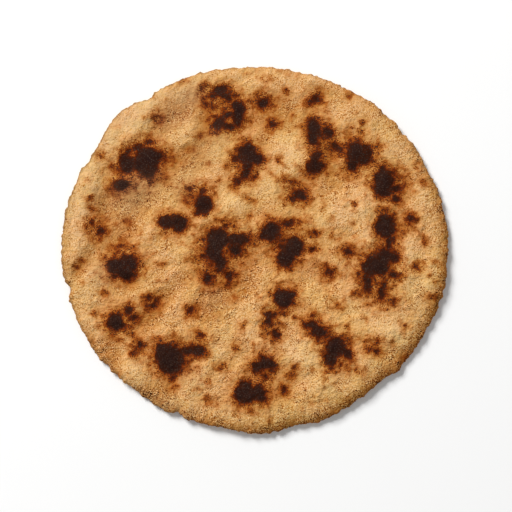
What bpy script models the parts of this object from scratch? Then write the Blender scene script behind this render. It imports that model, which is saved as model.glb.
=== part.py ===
"""A jowar roti: one hand-patted sorghum flatbread, lying flat with its best side up.

Metres, +Z up. The origin is under the middle of the bread, on the plane that it rests on. +X and +Y
run across it. The bread is one solid: a sheet of even thickness with dimples left by the hand, puffed
blisters, a cracked and uneven edge, and a few places where the sheet lifts off the surface below.
"""

import math
from typing import NamedTuple

import bmesh
import bpy
import numpy as np

# Driving sizes.
ACROSS = 0.2000  # widest, along X
DEPTH = 0.1900  # widest, along Y
THICKNESS = 0.0050  # of the patted sheet
SHOULDER = 0.0046  # how far in from the edge the top begins to round over
HEEL = 0.0026  # the same for the underside
EDGE_HEIGHT = 0.42  # share of the thickness at which the edge reaches furthest out

# How finely the surfaces are divided. The underside has half as many cells as the top.
TOP_CELLS = 56
UNDER_CELLS = TOP_CELLS // 2
SHOULDER_TURNS = (30, 60, 90)  # degrees from the top round to the edge
HEEL_TURNS = (120, 150)  # degrees on from the edge towards the underside

# The bread's own finish.
DOUGH_COLOUR = (0.60, 0.30, 0.10, 1.0)
DOUGH_ROUGHNESS = 0.85


class Swell(NamedTuple):
    """A stretch of the outline that stands out, or dips in where reach is negative."""

    bearing: float  # degrees anticlockwise from +X
    spread: float  # degrees to either side
    reach: float


class Mound(NamedTuple):
    """A soft oval rise on the surface, or a dimple where height is negative."""

    x: float
    y: float
    half_length: float
    half_width: float
    turn: float  # degrees anticlockwise from +X
    height: float


# The outline is an ellipse with flats and shoulders, then nicks and juts where the dough cracked.
OUTLINE = (
    Swell(25, 2.5, -0.0009),
    Swell(34, 2.0, 0.0005),
    Swell(38.5, 2.0, -0.0008),
    Swell(48, 7, 0.0011),
    Swell(46, 1.8, -0.0010),
    Swell(66, 9, 0.0004),
    Swell(86, 1.6, 0.0006),
    Swell(103, 1.6, 0.0006),
    Swell(112, 9, 0.0012),
    Swell(120.5, 2.0, 0.0006),
    Swell(125.5, 1.8, -0.0014),
    Swell(135, 8, 0.0030),
    Swell(146, 3.0, -0.0004),
    Swell(152, 4, -0.0009),
    Swell(155.5, 2.2, 0.0008),
    Swell(182, 8, 0.0004),
    Swell(192, 1.7, -0.0018),
    Swell(216, 2.2, 0.0010),
    Swell(218.5, 1.8, -0.0010),
    Swell(228, 10, -0.0011),
    Swell(242.5, 2.0, 0.0005),
    Swell(245, 1.9, -0.0020),
    Swell(255, 10, -0.0011),
    Swell(270, 5, 0.0008),
    Swell(283, 4, -0.0015),
    Swell(303, 10, -0.0016),
    Swell(315, 9, -0.0023),
    Swell(319.5, 2.2, 0.0015),
    Swell(332, 10, -0.0012),
    Swell(355, 2.5, -0.0010),
)
RAGGED_WAVES = (23, 37, 61, 89)  # crumbs of the edge, as waves round the outline
RAGGED_REACH = 0.00022

# Where the whole sheet bends up and leaves the surface below. It rests on all that is outside these.
LIFTS = (
    Mound(-0.100, 0.018, 0.062, 0.024, 96, 0.0022),
    Mound(-0.074, 0.070, 0.040, 0.020, 48, 0.0012),
    Mound(0.064, 0.074, 0.046, 0.022, -44, 0.0013),
    Mound(0.097, -0.014, 0.040, 0.016, 90, 0.0009),
    Mound(-0.022, -0.094, 0.046, 0.016, 3, 0.0011),
    Mound(0.056, -0.078, 0.034, 0.015, 38, 0.0008),
)

# The sheet's own unevenness: a lip along the left, dimples from the fingers and folds between them.
RELIEF = (
    Mound(-0.0935, 0.018, 0.052, 0.0085, 96, 0.0010),
    Mound(-0.0830, 0.055, 0.034, 0.0085, 58, 0.0009),
    Mound(-0.0800, 0.018, 0.042, 0.0120, 96, -0.0013),
    Mound(-0.0440, 0.072, 0.024, 0.0150, 42, -0.0011),
    Mound(-0.0360, 0.059, 0.018, 0.0080, 48, 0.0007),
    Mound(-0.0620, 0.026, 0.026, 0.0110, 22, -0.0010),
    Mound(-0.0560, 0.010, 0.024, 0.0110, 38, 0.0007),
    Mound(-0.0240, 0.047, 0.024, 0.0120, 78, -0.0007),
    Mound(0.0165, 0.049, 0.026, 0.0110, 82, 0.0008),
    Mound(0.0520, 0.018, 0.026, 0.0200, 60, 0.0009),
    Mound(-0.0110, -0.020, 0.024, 0.0120, 28, -0.0010),
    Mound(-0.0450, -0.020, 0.022, 0.0090, 40, -0.0006),
    Mound(-0.0030, -0.034, 0.018, 0.0090, 52, 0.0006),
    Mound(-0.0290, -0.064, 0.036, 0.0100, 64, 0.0009),
    Mound(-0.0440, -0.073, 0.026, 0.0110, 62, -0.0011),
    Mound(-0.0650, -0.060, 0.018, 0.0100, 122, 0.0007),
    Mound(-0.0860, -0.016, 0.018, 0.0090, 80, -0.0006),
    Mound(0.0240, -0.053, 0.017, 0.0160, 0, 0.0007),
    Mound(0.0660, -0.038, 0.028, 0.0120, 152, 0.0009),
    Mound(0.0810, 0.002, 0.026, 0.0100, 90, 0.0006),
    Mound(0.0300, -0.012, 0.022, 0.0090, 35, -0.0006),
    Mound(0.0440, 0.072, 0.018, 0.0100, 20, 0.0005),
    Mound(0.0860, 0.036, 0.018, 0.0090, 115, -0.0006),
)

# Blisters that puffed up as the bread baked. Their tops took the worst of the scorching.
BLISTER_HEIGHT = 0.0006
BLISTERS = tuple(
    Mound(x, y, half_length, half_width, turn, BLISTER_HEIGHT)
    for x, y, half_length, half_width, turn in (
        (-0.0560, 0.046, 0.0130, 0.0110, 80),
        (-0.0180, 0.081, 0.0095, 0.0065, 20),
        (-0.0125, 0.068, 0.0130, 0.0085, 45),
        (-0.0030, 0.048, 0.0120, 0.0090, 80),
        (0.0310, 0.062, 0.0110, 0.0080, 85),
        (0.0310, 0.045, 0.0095, 0.0075, 60),
        (0.0520, 0.050, 0.0120, 0.0110, 0),
        (0.0670, 0.036, 0.0115, 0.0085, 85),
        (0.0670, 0.012, 0.0110, 0.0080, 85),
        (0.0620, -0.010, 0.0150, 0.0120, 55),
        (0.0180, -0.001, 0.0115, 0.0095, 30),
        (0.0080, 0.009, 0.0090, 0.0070, 20),
        (-0.0270, 0.025, 0.0090, 0.0080, 70),
        (-0.0425, 0.015, 0.0110, 0.0075, 0),
        (-0.0180, 0.002, 0.0150, 0.0130, 20),
        (-0.0680, -0.007, 0.0125, 0.0095, 12),
        (-0.0720, -0.036, 0.0085, 0.0075, 0),
        (-0.0440, -0.054, 0.0125, 0.0105, 0),
        (0.0150, -0.025, 0.0100, 0.0085, 0),
        (0.0320, -0.040, 0.0100, 0.0070, -28),
        (0.0410, -0.051, 0.0120, 0.0100, 50),
        (0.0040, -0.058, 0.0100, 0.0075, 15),
        (-0.0030, -0.074, 0.0120, 0.0085, -12),
    )
)

# Lumps and pits all over the top, and shallow hollows under the bread, scattered by a seeded draw.
LUMP_COUNT = 420
LUMP_SIZE = (0.0050, 0.0105)  # half length, from the smallest to the largest
LUMP_HEIGHT = 0.00050
LUMP_SEED = 11
HOLLOW_COUNT = 46
HOLLOW_SIZE = (0.0100, 0.0170)
HOLLOW_HEIGHT = 0.00045
HOLLOW_SEED = 5
REST_RADIUS = 0.020  # round the middle of the underside, with no hollow
ROUNDNESS = 0.62  # of lumps and hollows, width to length


def outline_reach(bearing):
    """Distance from the middle to the edge at each bearing, in radians."""
    half_x = ACROSS / 2
    half_y = DEPTH / 2
    reach = half_x * half_y / np.hypot(half_y * np.cos(bearing), half_x * np.sin(bearing))
    for swell in OUTLINE:
        away = np.degrees(bearing) - swell.bearing
        away = (away + 180) % 360 - 180
        reach = reach + swell.reach * np.exp(-((away / swell.spread) ** 2))
    for number, waves in enumerate(RAGGED_WAVES):
        reach = reach + RAGGED_REACH * np.sin(waves * bearing + number)
    return reach


def height_of(mounds, x, y):
    """Sum of the mounds at each point. Each is one smooth cap that ends at its oval."""
    total = np.zeros_like(x)
    for mound in mounds:
        turn = math.radians(mound.turn)
        along = (x - mound.x) * math.cos(turn) + (y - mound.y) * math.sin(turn)
        aside = (y - mound.y) * math.cos(turn) - (x - mound.x) * math.sin(turn)
        inside = 1 - (along / mound.half_length) ** 2 - (aside / mound.half_width) ** 2
        total += mound.height * np.clip(inside, 0, None) ** 2
    return total


def scatter(count, size, height, seed, clear=0.0, both_ways=True):
    """Mounds spread evenly over the bread, none within clear of its middle.

    With both_ways, every other one is a pit. The heights run from a third of height to all of it.
    """
    draw = np.random.default_rng(seed)
    mounds = []
    for number in range(count):
        half_length = draw.uniform(*size)
        nearest = clear + half_length if clear else 0.0
        far = math.sqrt(draw.uniform((2 * nearest / ACROSS) ** 2, 1.0))
        bearing = draw.uniform(0, math.tau)
        x = far * ACROSS / 2 * math.cos(bearing)
        y = far * ACROSS / 2 * math.sin(bearing)
        rise = height * draw.uniform(1 / 3, 1)
        if both_ways and number % 2:
            rise = -rise
        turn = draw.uniform(0, 180)
        mounds.append(Mound(x, y, half_length, ROUNDNESS * half_length, turn, rise))
    return mounds


LUMPS = scatter(LUMP_COUNT, LUMP_SIZE, LUMP_HEIGHT, LUMP_SEED)
HOLLOWS = scatter(HOLLOW_COUNT, HOLLOW_SIZE, HOLLOW_HEIGHT, HOLLOW_SEED, REST_RADIUS, False)


def underside(x, y):
    """Height of the underside: flat, apart from its hollows and where the sheet lifts."""
    return height_of(LIFTS, x, y) + height_of(HOLLOWS, x, y)


def top_side(x, y):
    """Height of the top."""
    sheet = height_of(LIFTS, x, y) + THICKNESS
    return sheet + height_of(RELIEF, x, y) + height_of(BLISTERS, x, y) + height_of(LUMPS, x, y)


def at_bearing(bearing, inset):
    """Points at these bearings, this far in from the edge."""
    reach = outline_reach(bearing) - inset
    return reach * np.cos(bearing), reach * np.sin(bearing)


def rim_points(bearing, turn):
    """One ring of the rounded edge, turn degrees round from the top (0) to the underside (180)."""
    x, y = at_bearing(bearing, 0)
    edge_z = underside(x, y) + EDGE_HEIGHT * THICKNESS
    width = SHOULDER if turn <= 90 else HEEL
    start_x, start_y = at_bearing(bearing, width)
    start_z = top_side(start_x, start_y) if turn <= 90 else underside(start_x, start_y)
    x, y = at_bearing(bearing, width * (1 - math.sin(math.radians(turn))))
    z = edge_z + (start_z - edge_z) * abs(math.cos(math.radians(turn)))
    return np.stack([x, y, z], axis=1)


def round_off(square):
    """A square grid's points, from -1 to 1, pressed out into a disc: shares of the radius, bearings."""
    u, v = square[:, 0], square[:, 1]
    along_u = np.abs(u) >= np.abs(v)
    major = np.where(along_u, u, v)
    minor = np.where(along_u, v, u)
    lean = math.pi / 4 * minor / np.where(major == 0, 1, major)
    angle = np.where(along_u, lean, math.pi / 2 - lean)
    return np.abs(major), np.arctan2(major * np.sin(angle), major * np.cos(angle))


def add_sheet(bm, cells, inset, height):
    """Adds one face of the bread, up to inset from its edge, and returns its border by bearing."""
    made = bmesh.ops.create_grid(bm, x_segments=cells, y_segments=cells, size=1.0)
    verts = made["verts"]
    share, bearing = round_off(np.array([v.co for v in verts]))
    reach = share * (outline_reach(bearing) - inset)
    x, y = reach * np.cos(bearing), reach * np.sin(bearing)
    for vert, place in zip(verts, np.stack([x, y, height(x, y)], axis=1)):
        vert.co = place
    border = [None] * (4 * cells)
    step = math.tau / len(border)
    for vert, angle in zip(verts, bearing):
        if vert.is_boundary:
            border[round(angle / step) % len(border)] = vert
    return border


def join_rings(bm, ring, next_ring):
    """Faces between two rings with the same number of points."""
    for i in range(len(ring)):
        j = (i + 1) % len(ring)
        bm.faces.new((ring[i], ring[j], next_ring[j], next_ring[i]))


def join_to_coarse(bm, ring, coarse):
    """Triangles between a ring and one with half as many points."""
    for k in range(len(coarse)):
        first, middle, last = ring[2 * k], ring[2 * k + 1], ring[(2 * k + 2) % len(ring)]
        near, far = coarse[k], coarse[(k + 1) % len(coarse)]
        bm.faces.new((first, middle, near))
        bm.faces.new((middle, far, near))
        bm.faces.new((middle, last, far))


def fit_to_size(bm):
    """Brings the bread to ACROSS by DEPTH, nicks and juts included, with its middle at the origin."""
    places = np.array([v.co for v in bm.verts])
    low, high = places.min(axis=0), places.max(axis=0)
    middle = (low + high) / 2
    size = high - low
    bmesh.ops.translate(bm, verts=bm.verts, vec=(-middle[0], -middle[1], 0))
    bmesh.ops.scale(bm, verts=bm.verts, vec=(ACROSS / size[0], DEPTH / size[1], 1))


def bread_mesh():
    """The closed skin: top, rounded edge and underside."""
    bm = bmesh.new()
    ring = add_sheet(bm, TOP_CELLS, SHOULDER, top_side)
    bearing = np.arange(len(ring)) * math.tau / len(ring)
    for turn in SHOULDER_TURNS + HEEL_TURNS:
        next_ring = [bm.verts.new(place) for place in rim_points(bearing, turn)]
        join_rings(bm, ring, next_ring)
        ring = next_ring
    join_to_coarse(bm, ring, add_sheet(bm, UNDER_CELLS, HEEL, underside))
    bmesh.ops.recalc_face_normals(bm, faces=bm.faces)
    fit_to_size(bm)
    mesh = bpy.data.meshes.new("roti")
    bm.to_mesh(mesh)
    bm.free()
    mesh.shade_smooth()
    return mesh


def dough_material():
    """Plain baked sorghum dough."""
    material = bpy.data.materials.new("dough")
    material.use_nodes = True
    shader = material.node_tree.nodes["Principled BSDF"]
    shader.inputs["Base Color"].default_value = DOUGH_COLOUR
    shader.inputs["Roughness"].default_value = DOUGH_ROUGHNESS
    shader.inputs["Metallic"].default_value = 0.0
    return material


def main():
    """Clears the scene and makes the bread."""
    for obj in list(bpy.data.objects):
        bpy.data.objects.remove(obj)
    mesh = bread_mesh()
    mesh.materials.append(dough_material())
    bpy.context.scene.collection.objects.link(bpy.data.objects.new("roti", mesh))


main()
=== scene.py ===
"""The looks of one jowar roti: a fine skin over the solid, the dough's grain and its scorch marks.

The solid in the frame gives the size and the place. The skin is worked out from the same form: an
uneven oval sheet with a rounded edge, dimples, blisters and lumps, and on top of those the crumb of
baked sorghum dough. Places and sizes of marks, mounds and swells are in millimetres; meshes, the
camera and the lights are in metres. Seen from above, +X is to the right and +Y is up.
"""

import logging
import math
from dataclasses import dataclass
from enum import Enum
from typing import Any, Callable, NamedTuple, Sequence

import bpy
import numpy as np
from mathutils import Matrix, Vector


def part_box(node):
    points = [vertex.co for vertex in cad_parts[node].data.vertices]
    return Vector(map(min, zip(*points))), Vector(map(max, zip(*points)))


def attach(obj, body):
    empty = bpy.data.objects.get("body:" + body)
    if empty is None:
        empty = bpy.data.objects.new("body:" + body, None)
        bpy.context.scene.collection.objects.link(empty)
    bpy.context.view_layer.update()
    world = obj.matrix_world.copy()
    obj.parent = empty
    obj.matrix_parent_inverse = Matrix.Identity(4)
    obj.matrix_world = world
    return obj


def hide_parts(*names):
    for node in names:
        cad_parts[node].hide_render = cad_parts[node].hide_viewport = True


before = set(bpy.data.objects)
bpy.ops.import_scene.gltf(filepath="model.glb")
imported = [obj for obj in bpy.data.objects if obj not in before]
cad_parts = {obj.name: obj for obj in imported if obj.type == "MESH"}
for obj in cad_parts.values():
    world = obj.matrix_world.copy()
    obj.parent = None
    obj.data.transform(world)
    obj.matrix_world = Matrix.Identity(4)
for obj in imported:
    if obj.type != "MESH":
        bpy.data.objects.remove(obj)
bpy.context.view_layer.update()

log = logging.getLogger("jowar roti")

MM = 0.001
NODE = "roti"
PIECE = "roti_crust"
BAKE_MAP = "OFBake"


# ---------------------------------------------------------------------------------------------
# The form of the bread
# ---------------------------------------------------------------------------------------------


@dataclass(frozen=True)
class Swell:
    """A stretch of the outline that stands out, or dips in where reach is negative.

    bearing is in degrees anticlockwise from +X, spread in degrees to either side, reach in mm.
    """

    bearing: float
    spread: float
    reach: float


@dataclass(frozen=True)
class Mound:
    """A soft oval rise on the surface, or a dimple where height is negative. In mm and degrees."""

    x: float
    y: float
    half_length: float
    half_width: float
    turn: float
    height: float


def mounds(*rows: Sequence[float]) -> tuple[Mound, ...]:
    """Mounds from rows of x, y, half length, half width, turn and height."""
    return tuple(Mound(*row) for row in rows)


# The swells and dips of the outline, in rows of bearing, spread and reach.
OUTLINE = tuple(
    Swell(*row)
    for row in (
        (25, 2.5, -0.9), (34, 2, 0.5), (38.5, 2, -0.8), (48, 7, 1.1), (46, 1.8, -1), (66, 9, 0.4),
        (86, 1.6, 0.6), (92, 24, 0.7), (103, 1.6, 0.6), (112, 9, 1.2), (120.5, 2, 0.6),
        (125.5, 1.8, -1.4), (135, 8, 3), (146, 3, -0.4), (152, 4, -0.9), (155.5, 2.2, 0.8),
        (182, 8, 0.4), (192, 1.7, -1.8), (216, 2.2, 1), (218.5, 1.8, -1), (228, 10, -1.1),
        (242.5, 2, 0.5), (245, 1.9, -2), (255, 10, -1.1), (270, 5, 0.8), (283, 4, -1.5),
        (303, 10, -1.6), (315, 9, -2.3), (319.5, 2.2, 1.5), (332, 10, -1.2), (355, 2.5, -1),
    )
)

# The torn edge: lobes of this size between sharp notches of this depth, in mm.
TORN_EDGE = ((5.2, 0.9), (2.6, 0.9), (1.3, 0.5))

# Where the whole sheet bends up and leaves the surface below.
LIFTS = mounds(
    (-100, 18, 62, 24, 96, 2.2), (-74, 70, 40, 20, 48, 1.2), (64, 74, 46, 22, -44, 1.3),
    (97, -14, 40, 16, 90, 0.9), (-22, -94, 46, 16, 3, 1.1), (56, -78, 34, 15, 38, 0.8),
)

# Raised pale places and low dull ones, as the patting of the bread leaves them, each set one by one.
# Here height is the tone: 1.6 is the palest and the furthest up, and -1.5 the deepest dimple.
# Their tone is partly the dough's own and partly painted light on the rises and shade in the dimples.
PATCH_RELIEF = 0.6
PALE_PATCHES = mounds(
    (-91, 24, 62, 14, 97, 1.4), (-84, 34, 18, 9, 75, 0.9), (-66, 64, 44, 14, 46, 1.6),
    (-36, 84, 34, 8, 20, 0.9), (4, 88, 42, 7, 0, 0.8), (-37, 60, 12, 9, 45, 0.9),
    (-53, 11, 18, 8, 38, 1), (-41, 2, 16, 9, 30, 0.5), (-12, 24, 14, 11, 20, 1.1),
    (18, 50, 21, 13, -55, 1.5), (7, 34, 16, 10, 50, 0.8), (42, 19, 16, 12, 40, 1),
    (55, 21, 18, 14, 90, 1.1), (58, 7, 12, 8, 90, 0.8), (85, 23, 16, 9, 85, 1),
    (79, 1, 13, 9, 80, 0.8), (48, 68, 14, 9, 60, 0.7), (69, 56, 16, 10, -45, 0.7),
    (-88, -21, 26, 10, 92, 0.8), (-66, -61, 14, 12, -40, 1), (-37, -29, 20, 8, 48, 0.5),
    (-3, -35, 22, 9, 55, 0.7), (-5, -46, 12, 10, 40, 0.6), (-22, -53, 14, 10, 50, 0.5),
    (28, -24, 12, 9, 30, 0.5), (62, -39, 22, 11, -22, 1.1), (24, -55, 15, 13, 0, 1.2),
    (36, -72, 14, 10, 10, 0.6), (57, -57, 10, 8, -20, 0.5), (-34, -74, 12, 8, 40, 0.6),
    (-17, -83, 12, 9, 0, 0.4), (-54, 72, 8, 6, 40, 0.7), (-66, 57, 9, 5, 45, 0.8),
    (-85, 36, 10, 7, 80, 1), (-26, 15, 8, 5, 40, 1.2), (0, 13, 12, 4, 0, 0.7),
    (28, 84, 9, 7, 70, 0.9), (7, 83, 6, 4, 0, 0.7), (25, 45, 7, 8, 90, 0.9), (43, 45, 6, 4, 0, 1.1),
    (67, 49, 9, 6, -30, 0.8), (86, 44, 9, 5, -60, 0.7), (57, 3, 8, 6, 90, 0.8),
    (77, -9, 20, 6, 90, 0.9), (90, -15, 16, 6, 85, 0.9), (32, -6, 7, 6, 0, 1),
    (46, -25, 9, 7, 0, 0.8), (32, 14, 12, 6, 0, 0.7), (-35, -1, 9, 6, 90, 0.5),
    (14, -15, 7, 5, 0, 0.7), (2, -36, 5, 6, 90, 0.9), (3, -50, 7, 8, 90, 0.9),
    (16, -46, 6, 6, 0, 0.6), (-42, -44, 12, 4, 0, 0.8), (-24, -47, 6, 6, 0, 0.8),
    (-64, -66, 12, 8, -45, 1.1), (-28, -65, 10, 7, 60, 0.9), (-8, -64, 7, 6, 40, 0.8),
    (37, -66, 8, 8, 0, 0.8), (-24, -74, 8, 6, 0, 0.6), (67, -45, 8, 7, 0, 0.8),
    (-85, -37, 12, 7, -60, 0.8), (-44, -15, 8, 6, 0, 0.6), (-57, 67, 10, 8, 45, 0.5),
    (-67, 34, 9, 6, 30, 0.7), (-57, -69, 10, 7, -35, 0.6), (-79, -40, 12, 8, -70, 0.5),
    (69, -45, 11, 8, 45, 0.6), (79, -10, 11, 7, 90, 0.7), (40, -42, 74, 34, 42, 0.45),
    (82, -20, 22, 9, 75, 0.6), (44, 1, 14, 10, 0, 0.5), (-20, -52, 16, 12, 40, 0.4),
    (-79, -13, 10, 7, 90, 0.5), (57, 22, 10, 8, 0, 0.5), (57, 57, 8, 6, 0, 0.5),
    (-11, 22, 9, 7, 20, 0.5), (-79, -46, 10, 7, -60, 0.5), (72, -46, 12, 8, 50, 0.6),
    (57, -58, 9, 6, -30, 0.5), (34, -70, 9, 6, 10, 0.5), (83, -33, 28, 10, 75, 0.2),
    (-27, -68, 16, 12, 0, 0.25),
)
DULL_PATCHES = mounds(
    (-77, 23, 16, 11, 70, -1.5), (-67, 14, 20, 12, 40, -1.2), (-86, -3, 24, 8, 74, -1.2),
    (-72, 3, 14, 8, 20, -0.9), (-78, 39, 12, 10, 60, -0.7), (-50, 65, 18, 8, 60, -0.9),
    (-40, 75, 14, 10, 30, -0.6), (-27, 71, 14, 11, 60, -1.1), (-30, 55, 24, 8, 58, -0.9),
    (-40, 45, 14, 9, 10, -1.1), (-47, 36, 12, 9, 30, -0.7), (-60, 26, 16, 9, 10, -0.7),
    (-36, 26, 8, 7, 0, -0.6), (13, 73, 18, 11, -10, -1.2), (31, 76, 14, 10, 80, -0.9),
    (0, 67, 12, 8, 0, -0.8), (25, 35, 10, 10, 0, -1.1), (38, 45, 10, 8, 90, -1),
    (42, 37, 16, 8, 0, -0.5), (75, 33, 14, 8, 100, -0.8), (74, 15, 10, 6, 90, -0.7),
    (1, -4, 16, 10, 0, -0.9), (-6, -15, 14, 12, 40, -1.2), (-16, -19, 14, 8, 20, -0.8),
    (-25, -26, 16, 10, 45, -1.2), (-14, -27, 12, 9, 30, -0.8), (44, 2, 14, 10, 10, -0.8),
    (37, -15, 11, 10, 0, -0.6), (-51, -30, 24, 8, 50, -1.1), (-56, -37, 10, 8, 40, -0.8),
    (-66, -18, 14, 6, 0, -0.8), (-77, -51, 20, 9, -55, -0.9), (-49, -75, 18, 11, -25, -1.2),
    (-44, -68, 14, 7, 60, -0.7), (16, -66, 11, 10, 30, -1.1), (12, -75, 8, 8, 0, -0.5),
    (64, -52, 16, 8, -15, -0.8), (20, -38, 14, 7, 50, -0.5), (-26, -85, 12, 8, 0, -0.5),
    (-3, 16, 8, 7, 0, -0.5), (-42, 66, 14, 7, 60, -1), (-31, 41, 10, 8, 70, -0.7),
    (-27, 53, 12, 7, 60, -0.6), (5, 55, 9, 7, 0, -0.8), (5, 63, 10, 7, 0, -0.5),
    (38, 29, 9, 9, 0, -0.8), (79, 26, 6, 5, 0, -0.8), (-75, 22, 10, 8, 60, -0.8),
    (-58, 23, 10, 7, 60, -0.6), (-64, 7, 8, 7, 0, -0.9), (-45, 3, 9, 6, 0, -0.6),
    (-88, -8, 14, 6, 60, -1.2), (-96, 4, 12, 5, 90, -0.6), (-64, -17, 8, 5, -30, -1.1),
    (-36, -15, 7, 6, 0, -0.6), (-4, -21, 8, 9, 90, -1), (-47, -26, 9, 6, 40, -0.9),
    (-53, -39, 10, 6, 40, -0.7), (-23, -35, 10, 8, 0, -0.8), (25, -16, 7, 7, 0, -0.8),
    (-73, -53, 10, 8, -50, -0.8), (-38, -69, 8, 6, 60, -0.6), (70, -55, 8, 8, 0, -0.5),
    (37, 81, 8, 7, 0, -0.7), (66, 62, 7, 6, -40, -0.7), (-39, 66, 12, 9, 60, -0.7),
    (-27, 48, 13, 8, 60, -0.5), (15, 61, 11, 8, 0, -0.5), (45, 79, 9, 6, -30, -0.5),
    (38, 37, 8, 8, 0, -0.4), (-69, -58, 10, 7, -45, -0.9), (-92, -12, 9, 5, 80, -0.6),
    (-34, -18, 38, 26, 50, -0.35), (-38, 52, 28, 15, 45, -0.35), (18, 66, 16, 9, 0, -0.5),
    (43, 34, 9, 8, 0, -0.5), (-58, 27, 13, 9, 20, -0.5), (-57, 20, 10, 7, 0, -0.5),
    (-91, -12, 8, 5, 80, -0.5), (-68, -22, 10, 6, 0, -0.5), (-11, -23, 9, 8, 0, -0.5),
    (-41, 67, 18, 12, 30, -0.25), (-33, 46, 16, 12, 0, -0.25), (-45, 28, 14, 12, 0, -0.2),
    (11, 57, 12, 9, 0, -0.25), (-40, -35, 40, 14, 10, -0.2), (-12, -27, 14, 10, 0, -0.2),
)
PATCHES = PALE_PATCHES + DULL_PATCHES

# Where the dough is redder, and greyer where height is negative.
WARM_PATCHES = mounds(
    (-62, 28, 24, 15, 35, -1.2), (-36, 36, 18, 10, 60, -0.6), (-34, 80, 12, 9, 30, -1),
    (-47, -79, 18, 10, -30, -1), (-32, -68, 10, 10, 0, -0.5), (-80, -12, 12, 10, 0, -0.8),
    (-22, -26, 9, 9, 0, -0.6), (-34, -22, 9, 22, 0, 0.9), (12, -16, 18, 14, 0, 0.7),
    (30, -26, 20, 14, 0, 0.9), (52, -40, 16, 12, -40, 0.8), (30, 10, 14, 11, 0, 0.9),
    (8, 20, 14, 10, 0, 0.6), (-41, 67, 20, 14, 30, -0.8), (-24, 51, 18, 12, 60, -0.7),
    (35, -32, 24, 18, 0, 0.7), (58, -47, 14, 10, -30, 0.7), (18, -74, 18, 12, 0, 0.9),
    (-50, -69, 16, 10, -40, 0.8), (-34, -36, 14, 11, 0, 0.7),
)

# Blisters that puffed up as the bread baked, in rows of x, y, half length, half width and turn.
BLISTER_HEIGHT = 0.6
BLISTERS = tuple(
    Mound(*row, BLISTER_HEIGHT)
    for row in (
        (-56, 45, 13, 11, 80), (-18, 80, 9.5, 6.5, 20), (-12.5, 67, 13, 8.5, 45),
        (-3, 47, 12, 9, 80), (31, 61, 11, 8, 85), (31, 44, 9.5, 7.5, 60), (52, 49, 12, 11, 0),
        (67, 35, 11.5, 8.5, 85), (67, 11, 11, 8, 85), (62, -11, 15, 12, 55),
        (18, -2, 11.5, 9.5, 30), (8, 8, 9, 7, 20), (-27, 24, 9, 8, 70), (-42.5, 14, 11, 7.5, 0),
        (-18, 1, 15, 13, 20), (-68, -8, 12.5, 9.5, 12), (-72, -37, 8.5, 7.5, 0),
        (-44, -55, 12.5, 10.5, 0), (15, -26, 10, 8.5, 0), (32, -41, 10, 7, -28),
        (41, -52, 12, 10, 50), (4, -59, 10, 7.5, 15), (-3, -75, 12, 8.5, -12),
    )
)


@dataclass(frozen=True)
class Scatter:
    """A rule that spreads mounds evenly over the bread by a seeded draw. Lengths are in mm.

    size is the range of their half lengths, height their greatest height and clear the radius round
    the middle that none of them reaches. With both_ways every other one is a pit.
    """

    count: int
    size: tuple[float, float]
    height: float
    seed: int
    clear: float = 0.0
    both_ways: bool = True
    roundness: float = 0.62

    def mounds(self, half: float) -> list[Mound]:
        """Draws the mounds.

        Args:
            half: half the bread's width, which is as far out as they lie.

        Returns:
            The mounds, with heights from a third of height to all of it.
        """
        draw = np.random.default_rng(self.seed)
        made = []
        for number in range(self.count):
            half_length = draw.uniform(*self.size)
            nearest = self.clear + half_length if self.clear else 0.0
            far = math.sqrt(draw.uniform((nearest / half) ** 2, 1.0))
            bearing = draw.uniform(0, math.tau)
            rise = self.height * draw.uniform(1 / 3, 1)
            if self.both_ways and number % 2:
                rise = -rise
            turn = draw.uniform(0, 180)
            x = far * half * math.cos(bearing)
            y = far * half * math.sin(bearing)
            made.append(Mound(x, y, half_length, self.roundness * half_length, turn, rise))
        return made


LUMPS = Scatter(count=420, size=(5.0, 10.5), height=0.30, seed=11)
HOLLOWS = Scatter(count=46, size=(10.0, 17.0), height=0.45, seed=5, clear=20.0, both_ways=False)


# ---------------------------------------------------------------------------------------------
# The scorch marks
# ---------------------------------------------------------------------------------------------


class Burn(NamedTuple):
    """How hot an oval of the crust got, on a scale from 0 to 1 for char.

    greatest is the heat deep inside, inside and outside the heats just within and just beyond the
    edge, and rise and fade how far in and how far out, in mm, the heat changes from those.
    """

    greatest: float
    inside: float = 0.0
    outside: float = 0.0
    rise: float = 1.0
    fade: float = 1.0


class Scorch(Enum):
    """How far the dough burnt. A halo is a faint even tan, so it has no more than its greatest."""

    CHAR = Burn(greatest=1.0, inside=0.82, outside=0.61, rise=1.8, fade=2.5)
    SINGED = Burn(greatest=0.92, inside=0.77, outside=0.57, rise=1.4, fade=2.2)
    BROWNED = Burn(greatest=0.62, inside=0.50, outside=0.36, rise=1.1, fade=2.0)
    TINGED = Burn(greatest=0.40, inside=0.30, outside=0.22, rise=1.1, fade=1.7)
    HALO = Burn(greatest=0.28)


CHAR, SINGED, BROWNED, TINGED, HALO = Scorch

# How far inside its oval a lobe's edge lies, in mm, and at most as a share of its half width, and
# half the width of that edge in mm. A halo's edge is a share of its half width to either side.
EDGE_INSET = 0.8
MOST_INSET = 0.3
EDGE_HALF = 0.45
HALO_EDGE = 0.5

# Where lobes meet, the powers of this order of their heats add up to that of the heat there.
JOIN = 8


@dataclass(frozen=True)
class Mark:
    """One lobe of a scorch mark: an oval at x, y in mm, turned anticlockwise by turn degrees."""

    kind: Scorch
    x: float
    y: float
    half_length: float
    half_width: float
    turn: float = 0.0
    heat: float = 1.0


def lobes(kind: Scorch, *ovals: Sequence[float]) -> list[Mark]:
    """Lobes of one kind, from rows of x, y, half length, half width and maybe turn and heat."""
    return [Mark(kind, *oval) for oval in ovals]
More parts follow.
